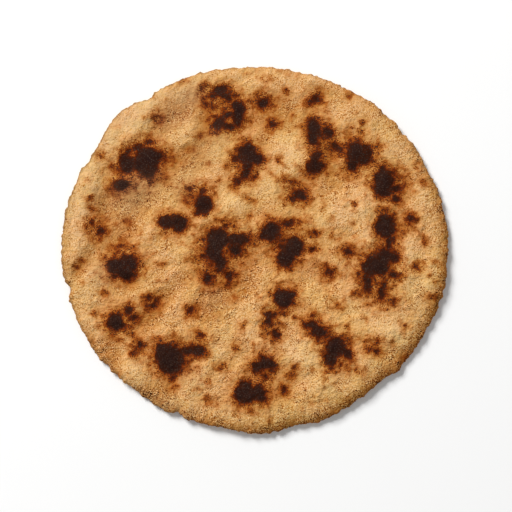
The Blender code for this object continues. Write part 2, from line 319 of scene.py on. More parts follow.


# The marks of the side that lies up, each set one by one.
UPPER_LEFT_MARKS = (
    *lobes(CHAR, (-55.8, 44.5, 7.3, 8.8), (-49.8, 48.2, 4.6, 2.9, -10), (-66.3, 43.9, 4.7, 5.6)),
    *lobes(SINGED, (-54.3, 55.2, 2.4, 1.6), (-60.3, 52.2, 3.8, 2.6, 25), (-64.8, 50.4, 2.2, 2.8)),
    *lobes(
        BROWNED,
        (-53.8, 35.2, 2, 3, 0, 1.15), (-50.1, 38.5, 1.5, 1.5, 0, 0.8), (-54.1, 32.3, 2, 1.5),
    ),
    *lobes(SINGED, (-62, 43.9, 2.4, 4.4)),
    *lobes(BROWNED, (-73.7, 42.5, 3.4, 2, 0, 0.8)),
    *lobes(TINGED, (-77.7, 41, 2.5, 1.8)),
    *lobes(HALO, (-57.8, 44.9, 15, 12.5)),
    *lobes(CHAR, (-69.1, 32.8, 4.8, 4)),
    *lobes(BROWNED, (-64.8, 36.8, 1.6, 1.4)),
    *lobes(HALO, (-68.8, 34, 8, 7, 0, 0.7)),
    *lobes(BROWNED, (-79.2, 47.6, 2.1, 1.7, 0, 1.15), (-51.8, 66.9, 1.9, 2.6, -20, 0.93)),
    *lobes(HALO, (-50.8, 68.4, 4.5, 5, 0, 0.8)),
    *lobes(TINGED, (-70.8, 63.4, 1.2, 1), (-38.4, 86.1, 3, 1, 25, 1.2)),
)
TOP_MARKS = (
    *lobes(CHAR, (-17.9, 81.8, 5.2, 3.1, 8)),
    *lobes(SINGED, (-14.7, 78.1, 4.2, 2, -25), (-21.9, 78.8, 1.8, 1.2)),
    *lobes(BROWNED, (-10.3, 79.1, 2.2, 1.4)),
    *lobes(SINGED, (-27.8, 82.1, 2.2, 1.4, 40, 0.92)),
    *lobes(
        BROWNED,
        (-25.4, 84.1, 2.2, 1.2, 0, 0.8), (-26.9, 77.3, 2.6, 3, 0, 0.55),
        (-24.9, 74.8, 2.5, 1.5, 0, 0.8),
    ),
    *lobes(HALO, (-19.9, 78.8, 12, 7.5)),
    *lobes(
        CHAR,
        (-8.3, 72.8, 4.1, 4.2), (-8.9, 67.7, 3.7, 5.8), (-13.8, 68.9, 3.6, 2.5, 20),
        (-18.7, 64.5, 5, 3.5, 48), (-13.5, 62.9, 4.8, 2.2),
    ),
    *lobes(HALO, (-14, 67.9, 13, 10, 45, 0.9)),
    *lobes(CHAR, (3.9, 75.4, 3, 3.5)),
    *lobes(BROWNED, (7, 76.3, 1.8, 1.4)),
    *lobes(HALO, (5.5, 76.8, 7, 6)),
    *lobes(SINGED, (9.3, 64.1, 3, 2.3, -10, 0.97)),
    *lobes(HALO, (9, 64.4, 5, 4.5, 0, 0.9)),
    *lobes(SINGED, (31.1, 77.2, 3.6, 2.5, 25, 0.86)),
    *lobes(HALO, (30.4, 78.3, 6, 6)),
    *lobes(
        TINGED,
        (3.5, 88.1, 1.7, 1.5, 0, 1.4), (6.9, 87.1, 1.7, 1.7), (16.3, 80.6, 2.9, 2.7, 0, 1.45),
        (20.5, 62.9, 1.2, 1), (-28.1, 59.4, 2.4, 1.6, 0, 1.2), (-33.9, 51.5, 3, 2.2),
        (48.6, 78.3, 1.6, 1.6, 0, 1.7),
    ),
)
UPPER_MIDDLE_MARKS = (
    *lobes(CHAR, (-4, 48.7, 5.7, 5.5), (-4, 52.9, 2.3, 2.9), (0.9, 46.2, 3.6, 3.4, -20)),
    *lobes(SINGED, (-10, 46.4, 3.2, 2.4)),
    *lobes(CHAR, (-3.8, 42.6, 3.6, 2.7), (-5.2, 38.5, 3.8, 2.8, 65, 0.97)),
    *lobes(SINGED, (-8.8, 34.5, 3.8, 2.5, 40, 0.97)),
    *lobes(BROWNED, (0.8, 39.3, 1.7, 1.8, 0, 1.1), (-1.8, 36.3, 2, 2)),
    *lobes(HALO, (-5, 43.9, 13, 9.5, 85)),
    *lobes(BROWNED, (12, 45.1, 1.9, 1.6, 0, 0.9)),
    *lobes(HALO, (16.4, 34, 6, 4, -10, 0.95)),
    *lobes(
        TINGED,
        (17.4, 34.5, 3, 2, 0, 0.9), (-4, 26.7, 1.5, 1.2, 0, 1.2), (-1.8, 24.8, 2.4, 1.5, -30, 1.2),
    ),
)
UPPER_RIGHT_MARKS = (
    *lobes(
        CHAR,
        (30.2, 61.1, 4.1, 7.2), (30.2, 55.7, 3.2, 3.6), (38.1, 59.9, 3.9, 3.1),
        (33.7, 58.7, 2, 2.4), (31.7, 47.4, 2.9, 3.8), (30.2, 42.8, 5.2, 4.4),
    ),
    *lobes(SINGED, (34.4, 42.5, 1.8, 1.8)),
    *lobes(HALO, (31.9, 53.9, 16, 9, 85, 0.9)),
    *lobes(
        CHAR,
        (51.3, 49.4, 5, 6.5), (57.1, 48.1, 4, 4.2), (56.8, 52.1, 3.2, 1.4), (50.3, 42.6, 3.7, 3.6),
        (55.3, 44.9, 3.5, 2.5),
    ),
    *lobes(SINGED, (42.7, 51.9, 4.9, 2.4, -50)),
    *lobes(TINGED, (51.8, 37.5, 2.6, 1.8, 0, 1.4), (57.3, 33.5, 3, 2.5)),
    *lobes(HALO, (51.3, 47.9, 13, 11)),
    *lobes(
        TINGED,
        (50.1, 62.7, 2.4, 2.2, 0, 1.4), (54.8, 65.1, 2.8, 2.4, 0, 1.4),
        (54.3, 60.9, 2.2, 2.6, 0, 1.4),
    ),
    *lobes(CHAR, (66.3, 35, 5.6, 7), (66.1, 30.5, 5.4, 4.6), (72.5, 31, 3.8, 2.3, 10)),
    *lobes(SINGED, (70.8, 39, 2.8, 1.6, -20)),
    *lobes(CHAR, (65.6, 40.5, 1.8, 2.8)),
    *lobes(SINGED, (72.7, 25.3, 2.8, 2.1)),
    *lobes(HALO, (67.8, 33.5, 12, 9.5, 90)),
    *lobes(TINGED, (82.5, 42.1, 2.5, 2.3, 0, 1.5), (79.4, 38.9, 1.5, 1.5)),
    *lobes(BROWNED, (86.7, 34, 2.2, 2, 0, 0.92)),
)
LEFT_MARKS = (
    *lobes(BROWNED, (-84.3, 25.6, 2.2, 2.2)),
    *lobes(TINGED, (-84.2, 21, 2.8, 2.6, 0, 1.2)),
    *lobes(SINGED, (-83.9, 13.4, 2, 2, 0, 0.9)),
    *lobes(TINGED, (-86.7, 11.6, 3, 3, 0, 1.2)),
    *lobes(SINGED, (-79.3, 8.7, 2.6, 2.4, 0, 0.93)),
    *lobes(BROWNED, (-79.5, 5.9, 1.2, 2)),
    *lobes(HALO, (-81.7, 10.1, 6.5, 7.5)),
    *lobes(TINGED, (-66.3, 13.6, 3, 2.4)),
    *lobes(SINGED, (-71.1, -1.9, 2.1, 0.8, 50, 0.9)),
    *lobes(BROWNED, (-68.3, 0.6, 4, 1.3, 0, 0.8), (-62.8, -0.4, 2.5, 1.5, 0, 0.8)),
    *lobes(
        CHAR,
        (-71.5, -9.5, 5.3, 4.6, -5), (-65.3, -6.9, 5.8, 4.3, -5), (-66.8, -12.4, 5.2, 4.3),
        (-62.3, -8.4, 3, 4.5),
    ),
    *lobes(SINGED, (-72.2, -14.6, 2.2, 1.1)),
    *lobes(HALO, (-67.8, -7.9, 12.5, 10, 5)),
    *lobes(
        TINGED,
        (-87.7, -6.9, 2.2, 1.8, 0, 1.2), (-90.7, -9.9, 2, 1.6, 0, 1.2),
        (-48.1, -7.7, 2.3, 1.6, -20, 1.3),
    ),
    *lobes(CHAR, (-45.8, 13.7, 4.4, 4.3), (-39.4, 12.7, 5.2, 5.1, -8), (-36.4, 13.7, 2.4, 2.8)),
    *lobes(HALO, (-42.9, 11.6, 9, 6.5, 0, 0.75)),
    *lobes(CHAR, (-26.6, 22.5, 5.2, 5.6)),
    *lobes(SINGED, (-29.4, 18, 2.2, 1.8), (-27.1, 29, 1.9, 1.9), (-33.8, 30.9, 2.5, 2.2, 0, 0.9)),
    *lobes(BROWNED, (-33.4, 27.3, 2.4, 1.4)),
    *lobes(HALO, (-30.4, 26, 9.5, 9)),
)
CENTRE_MARKS = (
    *lobes(
        CHAR,
        (-18.9, 4.6, 6.3, 6.5), (-20.9, -1.4, 5.2, 5.5), (-9, 4.4, 7.6, 3.6, -3),
        (-10.5, -0.4, 4.6, 3.4), (-17.9, -7.4, 3.6, 4.6), (-24.4, -15.3, 3.6, 3, 25),
    ),
    *lobes(SINGED, (-20.9, -14.8, 1.6, 1.8)),
    *lobes(CHAR, (-18.9, -11.2, 2.6, 1.8)),
    *lobes(
        SINGED,
        (-13.4, -14.3, 2.4, 3.6, 0, 0.95), (-15.1, 11.6, 1.6, 1.6), (-26.9, 4.7, 1.6, 1.3),
        (-26.4, -3.9, 2.6, 1.2),
    ),
    *lobes(BROWNED, (-14.9, 14.1, 2.6, 1.6, 0, 0.9), (-11.5, 11.6, 1.2, 1.2)),
    *lobes(HALO, (-16.9, 0.1, 16, 15), (-27.9, -6.9, 7, 9, 0, 0.7)),
    *lobes(
        CHAR,
        (7, 7.8, 4.5, 5), (9.3, 10.3, 4.6, 3.4, 20), (3.5, 6.3, 2.4, 2.4),
        (11.3, 7.1, 2.5, 3, 0, 0.95), (16.9, 12.5, 4.4, 1.8, 5, 0.95),
    ),
    *lobes(SINGED, (19.1, 14.3, 1.7, 1.6)),
    *lobes(BROWNED, (8, 15, 3, 1.3)),
    *lobes(HALO, (9, 9.1, 10, 8, 20)),
    *lobes(CHAR, (15.9, -4.4, 5, 6.2), (20.2, 1.1, 5.6, 5.8), (13.4, 1, 2.7, 2.3)),
    *lobes(SINGED, (30.2, -0.3, 2.4, 1.3, -10)),
    *lobes(HALO, (18.4, -1.4, 12, 11, 40, 0.9)),
    *lobes(SINGED, (31.2, 7.9, 1.5, 1.6, 0, 0.9)),
    *lobes(TINGED, (28.4, 7.6, 3.4, 2.6, 0, 1.2)),
    *lobes(BROWNED, (39.4, 7.1, 2.6, 2.6, 0, 0.7)),
    *lobes(TINGED, (42.9, 5.1, 1.8, 1.6, 0, 1.1)),
    *lobes(CHAR, (23.2, 27.8, 3.7, 3.1), (24.9, 26.2, 2.7, 2.8, 0, 0.95)),
    *lobes(SINGED, (19.9, 25.8, 2.4, 1.7)),
    *lobes(HALO, (21.9, 28.5, 9, 7.5)),
    *lobes(
        TINGED,
        (-3, 17, 2.4, 2.2, 0, 1.1), (26.4, 17, 2.4, 2), (39.1, 15.4, 1.2, 1),
        (50.3, 12.6, 1.8, 1.6, 0, 1.1),
    ),
    *lobes(
        CHAR,
        (14.3, -25.3, 5.3, 4.9), (15.5, -27.4, 4.6, 4), (18.6, -23.8, 2.7, 2.6),
        (11.5, -24.8, 2.5, 2.4),
    ),
    *lobes(BROWNED, (7.8, -22.6, 1.5, 2.2), (15.7, -33.1, 1.5, 1.2, 0, 0.85)),
    *lobes(HALO, (14.9, -25.8, 8.5, 8.5, 0, 0.85)),
    *lobes(TINGED, (3, -25.4, 1.4, 1, 0, 1.2), (-18.4, -34.2, 1.4, 1.2)),
)
RIGHT_MARKS = (
    *lobes(BROWNED, (50.6, 23, 2.9, 2.1)),
    *lobes(CHAR, (67, 11.6, 5.7, 7.1), (68.7, 3.1, 2, 4.5)),
    *lobes(SINGED, (71.1, 4.1, 1.4, 1.6)),
    *lobes(HALO, (67.3, 9.1, 13, 8.5, 90, 0.9)),
    *lobes(
        CHAR,
        (66.3, -4, 4.4, 4.3), (71.3, -4.7, 3.5, 2.6), (60, -9.1, 5.7, 6), (64.8, -9.9, 4.2, 5.2),
        (70.8, -13.7, 2.9, 2.2), (57.5, -17.3, 2.8, 5.9), (64.5, -23.1, 2.5, 4.6),
        (65.8, -18.8, 1.6, 2.2),
    ),
    *lobes(SINGED, (71.9, -26.1, 1.9, 1.2, 15)),
    *lobes(
        BROWNED,
        (51.3, -23.3, 3.4, 2.4, 0, 0.8), (66.3, -30.8, 4, 2, 0, 0.8), (69.3, -29.3, 2.4, 2, 0, 0.8),
        (52.8, -13.4, 1.6, 3.4),
    ),
    *lobes(HALO, (61.8, -12.4, 16, 13.5, 75)),
    *lobes(SINGED, (80.5, 15.5, 2.8, 2.4, 25, 0.97)),
    *lobes(BROWNED, (77.9, 14, 1.6, 1)),
    *lobes(HALO, (80.7, 14.1, 5, 5)),
    *lobes(TINGED, (86.7, 3.9, 1.6, 2.8, 20, 1.5)),
    *lobes(SINGED, (82.7, -10.1, 1.9, 1.3, -15, 0.9)),
    *lobes(HALO, (82.2, -9.9, 4.5, 4)),
    *lobes(SINGED, (47.7, -1.3, 2.5, 2.2)),
    *lobes(HALO, (47.6, -1.4, 5, 5)),
    *lobes(SINGED, (38.3, -12.4, 2.6, 2, -10, 0.95)),
    *lobes(HALO, (36.4, -11.9, 6.5, 5.5)),
    *lobes(BROWNED, (42.4, -29.1, 2.1, 2)),
    *lobes(TINGED, (47, -8.5, 1.2, 1.4, 0, 1.4)),
    *lobes(BROWNED, (90, -25.7, 2.2, 2.4, 0, 0.95)),
)
LOWER_LEFT_MARKS = (
    *lobes(CHAR, (-71.7, -37.1, 4.8, 4.5), (-70.3, -39.6, 4.5, 2.9, -5)),
    *lobes(SINGED, (-65, -32, 3.4, 2.7, 60), (-62.8, -35.5, 3.2, 2.2, 10)),
    *lobes(HALO, (-69.3, -36.3, 11, 9.5, -20)),
    *lobes(BROWNED, (-76.7, -23, 2.4, 1.9, 0, 0.7), (-82.7, -32.8, 1.9, 1.6, 0, 0.9)),
    *lobes(TINGED, (-68.3, -47.2, 2, 1.6, 0, 1.2)),
    *lobes(BROWNED, (-62.8, -44.3, 1.4, 1.4)),
    *lobes(TINGED, (-72.7, -44.2, 3, 1.5), (-65.8, -43.7, 3, 1.5)),
    *lobes(SINGED, (-59, -49.7, 1.7, 2.3)),
    *lobes(HALO, (-60.3, -51.7, 5, 6)),
    *lobes(BROWNED, (-62.3, -53.7, 1.8, 1.6)),
    *lobes(SINGED, (-54.8, -25.2, 1.5, 1.1, 0, 0.93), (-52, -29.4, 2, 1.7)),
    *lobes(BROWNED, (-51.1, -26.8, 1.5, 1)),
    *lobes(HALO, (-52.8, -27.8, 5.5, 5.5)),
    *lobes(SINGED, (-32.9, -31.7, 2.2, 2, 0, 0.97)),
    *lobes(HALO, (-32.9, -32.3, 3.8, 3.6)),
    *lobes(
        CHAR,
        (-46.4, -53.7, 5.6, 6.2), (-48.1, -50.5, 3.2, 3), (-41.9, -55.7, 6.2, 6.3),
        (-43.3, -59.7, 6.8, 5),
    ),
    *lobes(BROWNED, (-41.9, -66.7, 2.2, 2.8, 0, 1.15)),
    *lobes(CHAR, (-29.2, -52.7, 3.9, 3.7), (-34.9, -52.3, 4.2, 2.6, 0, 0.97)),
    *lobes(SINGED, (-27.9, -44.3, 2.9, 1.9, -10, 0.95)),
    *lobes(TINGED, (-49.3, -45.7, 2.4, 1.3, 0, 1.3)),
    *lobes(HALO, (-41.9, -55.7, 12.5, 11, -20), (-28.9, -50.7, 6, 6.5, 0, 0.8)),
    *lobes(BROWNED, (-41.9, -70.7, 2, 1.5, 0, 0.9)),
    *lobes(TINGED, (-24.4, -67.7, 2.6, 2.2, 0, 1.4)),
    *lobes(BROWNED, (-24.4, -77.4, 3.6, 2.2, 0, 0.8)),
    *lobes(TINGED, (-29.3, -71.8, 0.9, 0.9, 0, 1.5), (-54.3, -59.2, 2.5, 2.5, 0, 1.2)),
)
BOTTOM_MARKS = (
    *lobes(CHAR, (7.2, -34.4, 2.7, 2.9, 0, 0.95), (6.8, -37.1, 1.9, 2, 0, 0.95)),
    *lobes(SINGED, (10.4, -34.3, 1.1, 1.6)),
    *lobes(BROWNED, (4.8, -37.8, 1.4, 1.6, 0, 1.1)),
    *lobes(SINGED, (10.3, -43.9, 3, 2.7, -20)),
    *lobes(HALO, (8.5, -40.3, 9, 5.5, 75)),
    *lobes(
        BROWNED,
        (9, -48.2, 1.8, 2, 0, 0.9), (4.5, -40.3, 2.2, 2, 0, 0.9), (-5.8, -39, 3.2, 1.6, 45, 0.95),
        (-10, -50.9, 3.2, 2.7, 0, 1.05),
    ),
    *lobes(TINGED, (-0.3, -48.3, 1.5, 1.7, 0, 1.2)),
    *lobes(BROWNED, (-16.7, -60.3, 4, 2.6, 5, 0.97)),
    *lobes(CHAR, (5.3, -58.5, 5, 3.6, 15), (0.8, -60.5, 3.3, 3.1), (8.3, -59.2, 3, 3)),
    *lobes(SINGED, (5.5, -65.7, 2, 1.6), (8.3, -62.5, 1.6, 1.4)),
    *lobes(HALO, (4, -60.7, 10, 8.5)),
    *lobes(
        CHAR,
        (-5.2, -73.9, 5.9, 6.4), (1.2, -74.1, 4.4, 4.8), (3.5, -77.1, 2.9, 2.2),
        (-9, -76.1, 2, 2.6),
    ),
    *lobes(HALO, (-2, -74.6, 12, 9.5, 0, 0.85)),
    *lobes(BROWNED, (5, -80.6, 3, 1.4, 10, 0.7), (17.9, -64.7, 3.6, 3, 0, 0.85)),
    *lobes(TINGED, (20.9, -61.2, 3, 2.4, 0, 1.2)),
    *lobes(SINGED, (14.9, -72.6, 1.8, 2.3, 0, 0.97)),
    *lobes(HALO, (14.9, -72.6, 3.6, 4, 0, 0.8)),
)
LOWER_RIGHT_MARKS = (
    *lobes(CHAR, (28.9, -39.1, 3.2, 2.6), (31.9, -42.3, 4.3, 3.4, -20), (34.9, -42.8, 2.4, 1.9)),
    *lobes(SINGED, (28.9, -34.6, 1.3, 1.4), (25.9, -39.1, 1.6, 1.6)),
    *lobes(HALO, (30.9, -40.8, 9, 7, -30)),
    *lobes(CHAR, (41.2, -50.9, 6.3, 5.8), (38.3, -56.9, 3.7, 4), (47.1, -53.9, 3, 2.9)),
    *lobes(SINGED, (43.6, -59.4, 1.3, 1.3, 0, 0.9)),
    *lobes(BROWNED, (36.9, -63.2, 1.4, 1.5)),
    *lobes(HALO, (41.4, -52.2, 11, 11)),
    *lobes(BROWNED, (46.8, -61.2, 2.4, 2.4, 0, 0.85), (52.6, -62.7, 3, 1.9, 0, 0.95)),
    *lobes(TINGED, (48.8, -57.7, 2.5, 1.6, 0, 1.2)),
    *lobes(BROWNED, (46.8, -40.6, 2.1, 2, 0, 0.9)),
    *lobes(SINGED, (61.8, -52.7, 1.5, 1.4, 0, 0.97)),
    *lobes(BROWNED, (63, -47.7, 2.2, 2.8, 0, 0.85), (57.1, -52.2, 2.2, 2, 0, 0.7)),
    *lobes(HALO, (60.3, -50.7, 6, 5.5, 0, 0.8)),
    *lobes(BROWNED, (76.5, -39.3, 1.2, 1.9, -10, 0.9)),
    *lobes(TINGED, (70.5, -48.2, 1.3, 1.5, 0, 1.2), (56.3, -46.7, 2, 1.3, 0, 1.1)),
)
TOP_SIDE_MARKS = (
    UPPER_LEFT_MARKS
    + TOP_MARKS
    + UPPER_MIDDLE_MARKS
    + UPPER_RIGHT_MARKS
    + LEFT_MARKS
    + CENTRE_MARKS
    + RIGHT_MARKS
    + LOWER_LEFT_MARKS
    + BOTTOM_MARKS
    + LOWER_RIGHT_MARKS
)


@dataclass(frozen=True)
class Freckles:
    """A rule that scatters small toasted spots all over the bread. Lengths are in mm.

    reach is how far out they go as a share of the way, size and heat are ranges, and stretch is how
    much longer than wide they are.
    """

    count: int = 190
    reach: float = 0.97
    size: tuple[float, float] = (0.7, 1.6)
    heat: tuple[float, float] = (0.3, 1.15)
    stretch: float = 1.3
    seed: int = 61

    def marks(self, half: float) -> list[Mark]:
        """Draws the spots.

        Args:
            half: half the bread's width.

        Returns:
            Their marks.
        """
        draw = np.random.default_rng(self.seed)
        made = []
        for _ in range(self.count):
            far = self.reach * half * math.sqrt(draw.uniform())
            bearing = draw.uniform(0, math.tau)
            size = draw.uniform(*self.size)
            heat = draw.uniform(*self.heat)
            place = far * math.cos(bearing), far * math.sin(bearing)
            turn = draw.uniform(0, 180)
            made.append(Mark(TINGED, *place, size * self.stretch, size, turn, heat))
        return made


@dataclass(frozen=True)
class HiddenMarks:
    """A rule that draws the underside's scorch marks: clusters of lobes in a halo. Lengths in mm.

    The clusters keep apart, because each takes the next turn, in radians, of a sunflower's spiral,
    give or take its wander. Sizes are least and up to spread more, mostly small.
    """

    count: int = 30
    reach: float = 0.88
    turn: float = 2.39996
    wander: float = 0.22
    least: float = 1.8
    spread: float = 5.6
    halo: tuple[float, float] = (5.0, 4.0)
    scatter: float = 0.7
    most_lobes: int = 3
    lengths: tuple[float, float] = (0.5, 1.0)
    widths: tuple[float, float] = (0.6, 1.0)
    seed: int = 23

    def marks(self, half: float) -> list[Mark]:
        """Draws the clusters.

        Args:
            half: half the bread's width.

        Returns:
            Their marks.
        """
        draw = np.random.default_rng(self.seed)
        made = []
        for number in range(self.count):
            far = self.reach * half * math.sqrt((number + 0.5) / self.count)
            bearing = number * self.turn + draw.normal(0, self.wander)
            x, y = far * math.cos(bearing), far * math.sin(bearing)
            size = self.least + self.spread * draw.uniform() ** 2
            kind = CHAR if number % 3 else SINGED
            longer, wider = self.halo
            made.append(Mark(HALO, x, y, size + longer, size + wider, draw.uniform(0, 180)))
            for _ in range(draw.integers(1, self.most_lobes + 1)):
                along = draw.normal(0, self.scatter * size)
                aside = draw.normal(0, self.scatter * size)
                length = size * draw.uniform(*self.lengths)
                width = length * draw.uniform(*self.widths)
                turn = draw.uniform(0, 180)
                made.append(Mark(kind, x + along, y + aside, length, width, turn))
        return made


# ---------------------------------------------------------------------------------------------
# Noise and fields
# ---------------------------------------------------------------------------------------------


class Crumb:
    """Smooth seeded noise in space, for everything in the dough that isn't placed by hand.

    Its lattice draws on slope_count slopes, and gain brings the noise to about -1 to 1.
    """

    slope_count = 256
    gain = 1.55

    def __init__(self, seed: int) -> None:
        """Draws the lattice.

        Args:
            seed: of the draw.
        """
        draw = np.random.default_rng(seed)
        self._order = draw.permutation(self.slope_count)
        slopes = draw.normal(size=(self.slope_count, 3))
        self._slopes = slopes / np.linalg.norm(slopes, axis=1, keepdims=True)

    def at(self, points: np.ndarray, size: float) -> np.ndarray:
        """Noise of about -1 to 1 at each point.

        Each corner of a lattice has a slope. Inside a cell, the eight planes through its corners
        are blended by the curve 6t^5 - 15t^4 + 10t^3 along each axis.

        Args:
            points: n by 3, in mm.
            size: width of a lattice cell, in mm.

        Returns:
            n values.
        """
        place = points / size
        cell = np.floor(place).astype(np.int64)
        inside = place - cell
        fade = inside**3 * (inside * (inside * 6 - 15) + 10)
        total = np.zeros(len(points))
        for corner in np.ndindex(2, 2, 2):
            key = np.zeros(len(points), np.int64)
            for axis in range(3):
                key = self._order[(key + cell[:, axis] + corner[axis]) % self.slope_count]
            rise = ((inside - corner) * self._slopes[key]).sum(axis=1)
            weight = np.where(corner, fade, 1 - fade).prod(axis=1)
            total += rise * weight
        return self.gain * total


def smooth_step(low: float, high: float, value: np.ndarray) -> np.ndarray:
    """0 below low, 1 above high, and 3t^2 - 2t^3 between them."""
    share = np.clip((value - low) / (high - low), 0, 1)
    return share * share * (3 - 2 * share)


def oval(x: np.ndarray, y: np.ndarray, shape: Mound | Mark) -> np.ndarray:
    """How far out each point is in an oval.

    Args:
        x: of each point, in mm.
        y: of each point, in mm.
        shape: the oval.

    Returns:
        0 in its middle and 1 on its edge, growing evenly and on beyond it.
    """
    turn = math.radians(shape.turn)
    along = (x - shape.x) * math.cos(turn) + (y - shape.y) * math.sin(turn)
    aside = (y - shape.y) * math.cos(turn) - (x - shape.x) * math.sin(turn)
    return np.hypot(along / shape.half_length, aside / shape.half_width)


def height_of(shapes: Sequence[Mound], x: np.ndarray, y: np.ndarray) -> np.ndarray:
    """Sum of mounds at each point.

    A mound is its height times (1 - q^2)^2, where q is how far out in its oval the point is.

    Args:
        shapes: the mounds.
        x: of each point, in mm.
        y: of each point, in mm.

    Returns:
        Heights in mm.
    """
    total = np.zeros_like(x)
    for mound in shapes:
        inside = 1 - oval(x, y, mound) ** 2
        total += mound.height * np.clip(inside, 0, None) ** 2
    return total


def heat_of(marks: Sequence[Mark], x: np.ndarray, y: np.ndarray) -> np.ndarray:
    """How burnt the dough is at each point, from 0 to 1.

    Inside a lobe's oval the heat is its greatest less a share that shrinks exponentially inwards,
    and outside it fades exponentially, with a smooth step between them. Lobes join as the root of
    the sum of their heats' powers, and halos add to that: each leaves its own share of the rest
    unburnt.

    Args:
        marks: the lobes and halos.
        x: of each point, in mm.
        y: of each point, in mm.

    Returns:
        Heats of 0 to 1.
    """
    joined = np.zeros_like(x)
    unburnt = np.ones_like(x)
    for mark in marks:
        greatest, inside, outside, rise, fade = mark.kind.value
        if mark.kind is HALO:
            evenness = 1 - smooth_step(1 - HALO_EDGE, 1 + HALO_EDGE, oval(x, y, mark))
            unburnt *= 1 - mark.heat * greatest * evenness
            continue
        narrow = min(mark.half_length, mark.half_width)
        away = (oval(x, y, mark) - 1) * narrow + min(EDGE_INSET, MOST_INSET * narrow)
        inner = greatest - (greatest - inside) * np.exp(np.minimum(away, 0) / rise)
        outer = outside * np.exp(-np.maximum(away, 0) / fade)
        step = smooth_step(-EDGE_HALF, EDGE_HALF, away)
        joined += (mark.heat * (inner + (outer - inner) * step)) ** JOIN
    return 1 - (1 - np.minimum(joined ** (1 / JOIN), 1)) * unburnt


# ---------------------------------------------------------------------------------------------
# The bread
# ---------------------------------------------------------------------------------------------


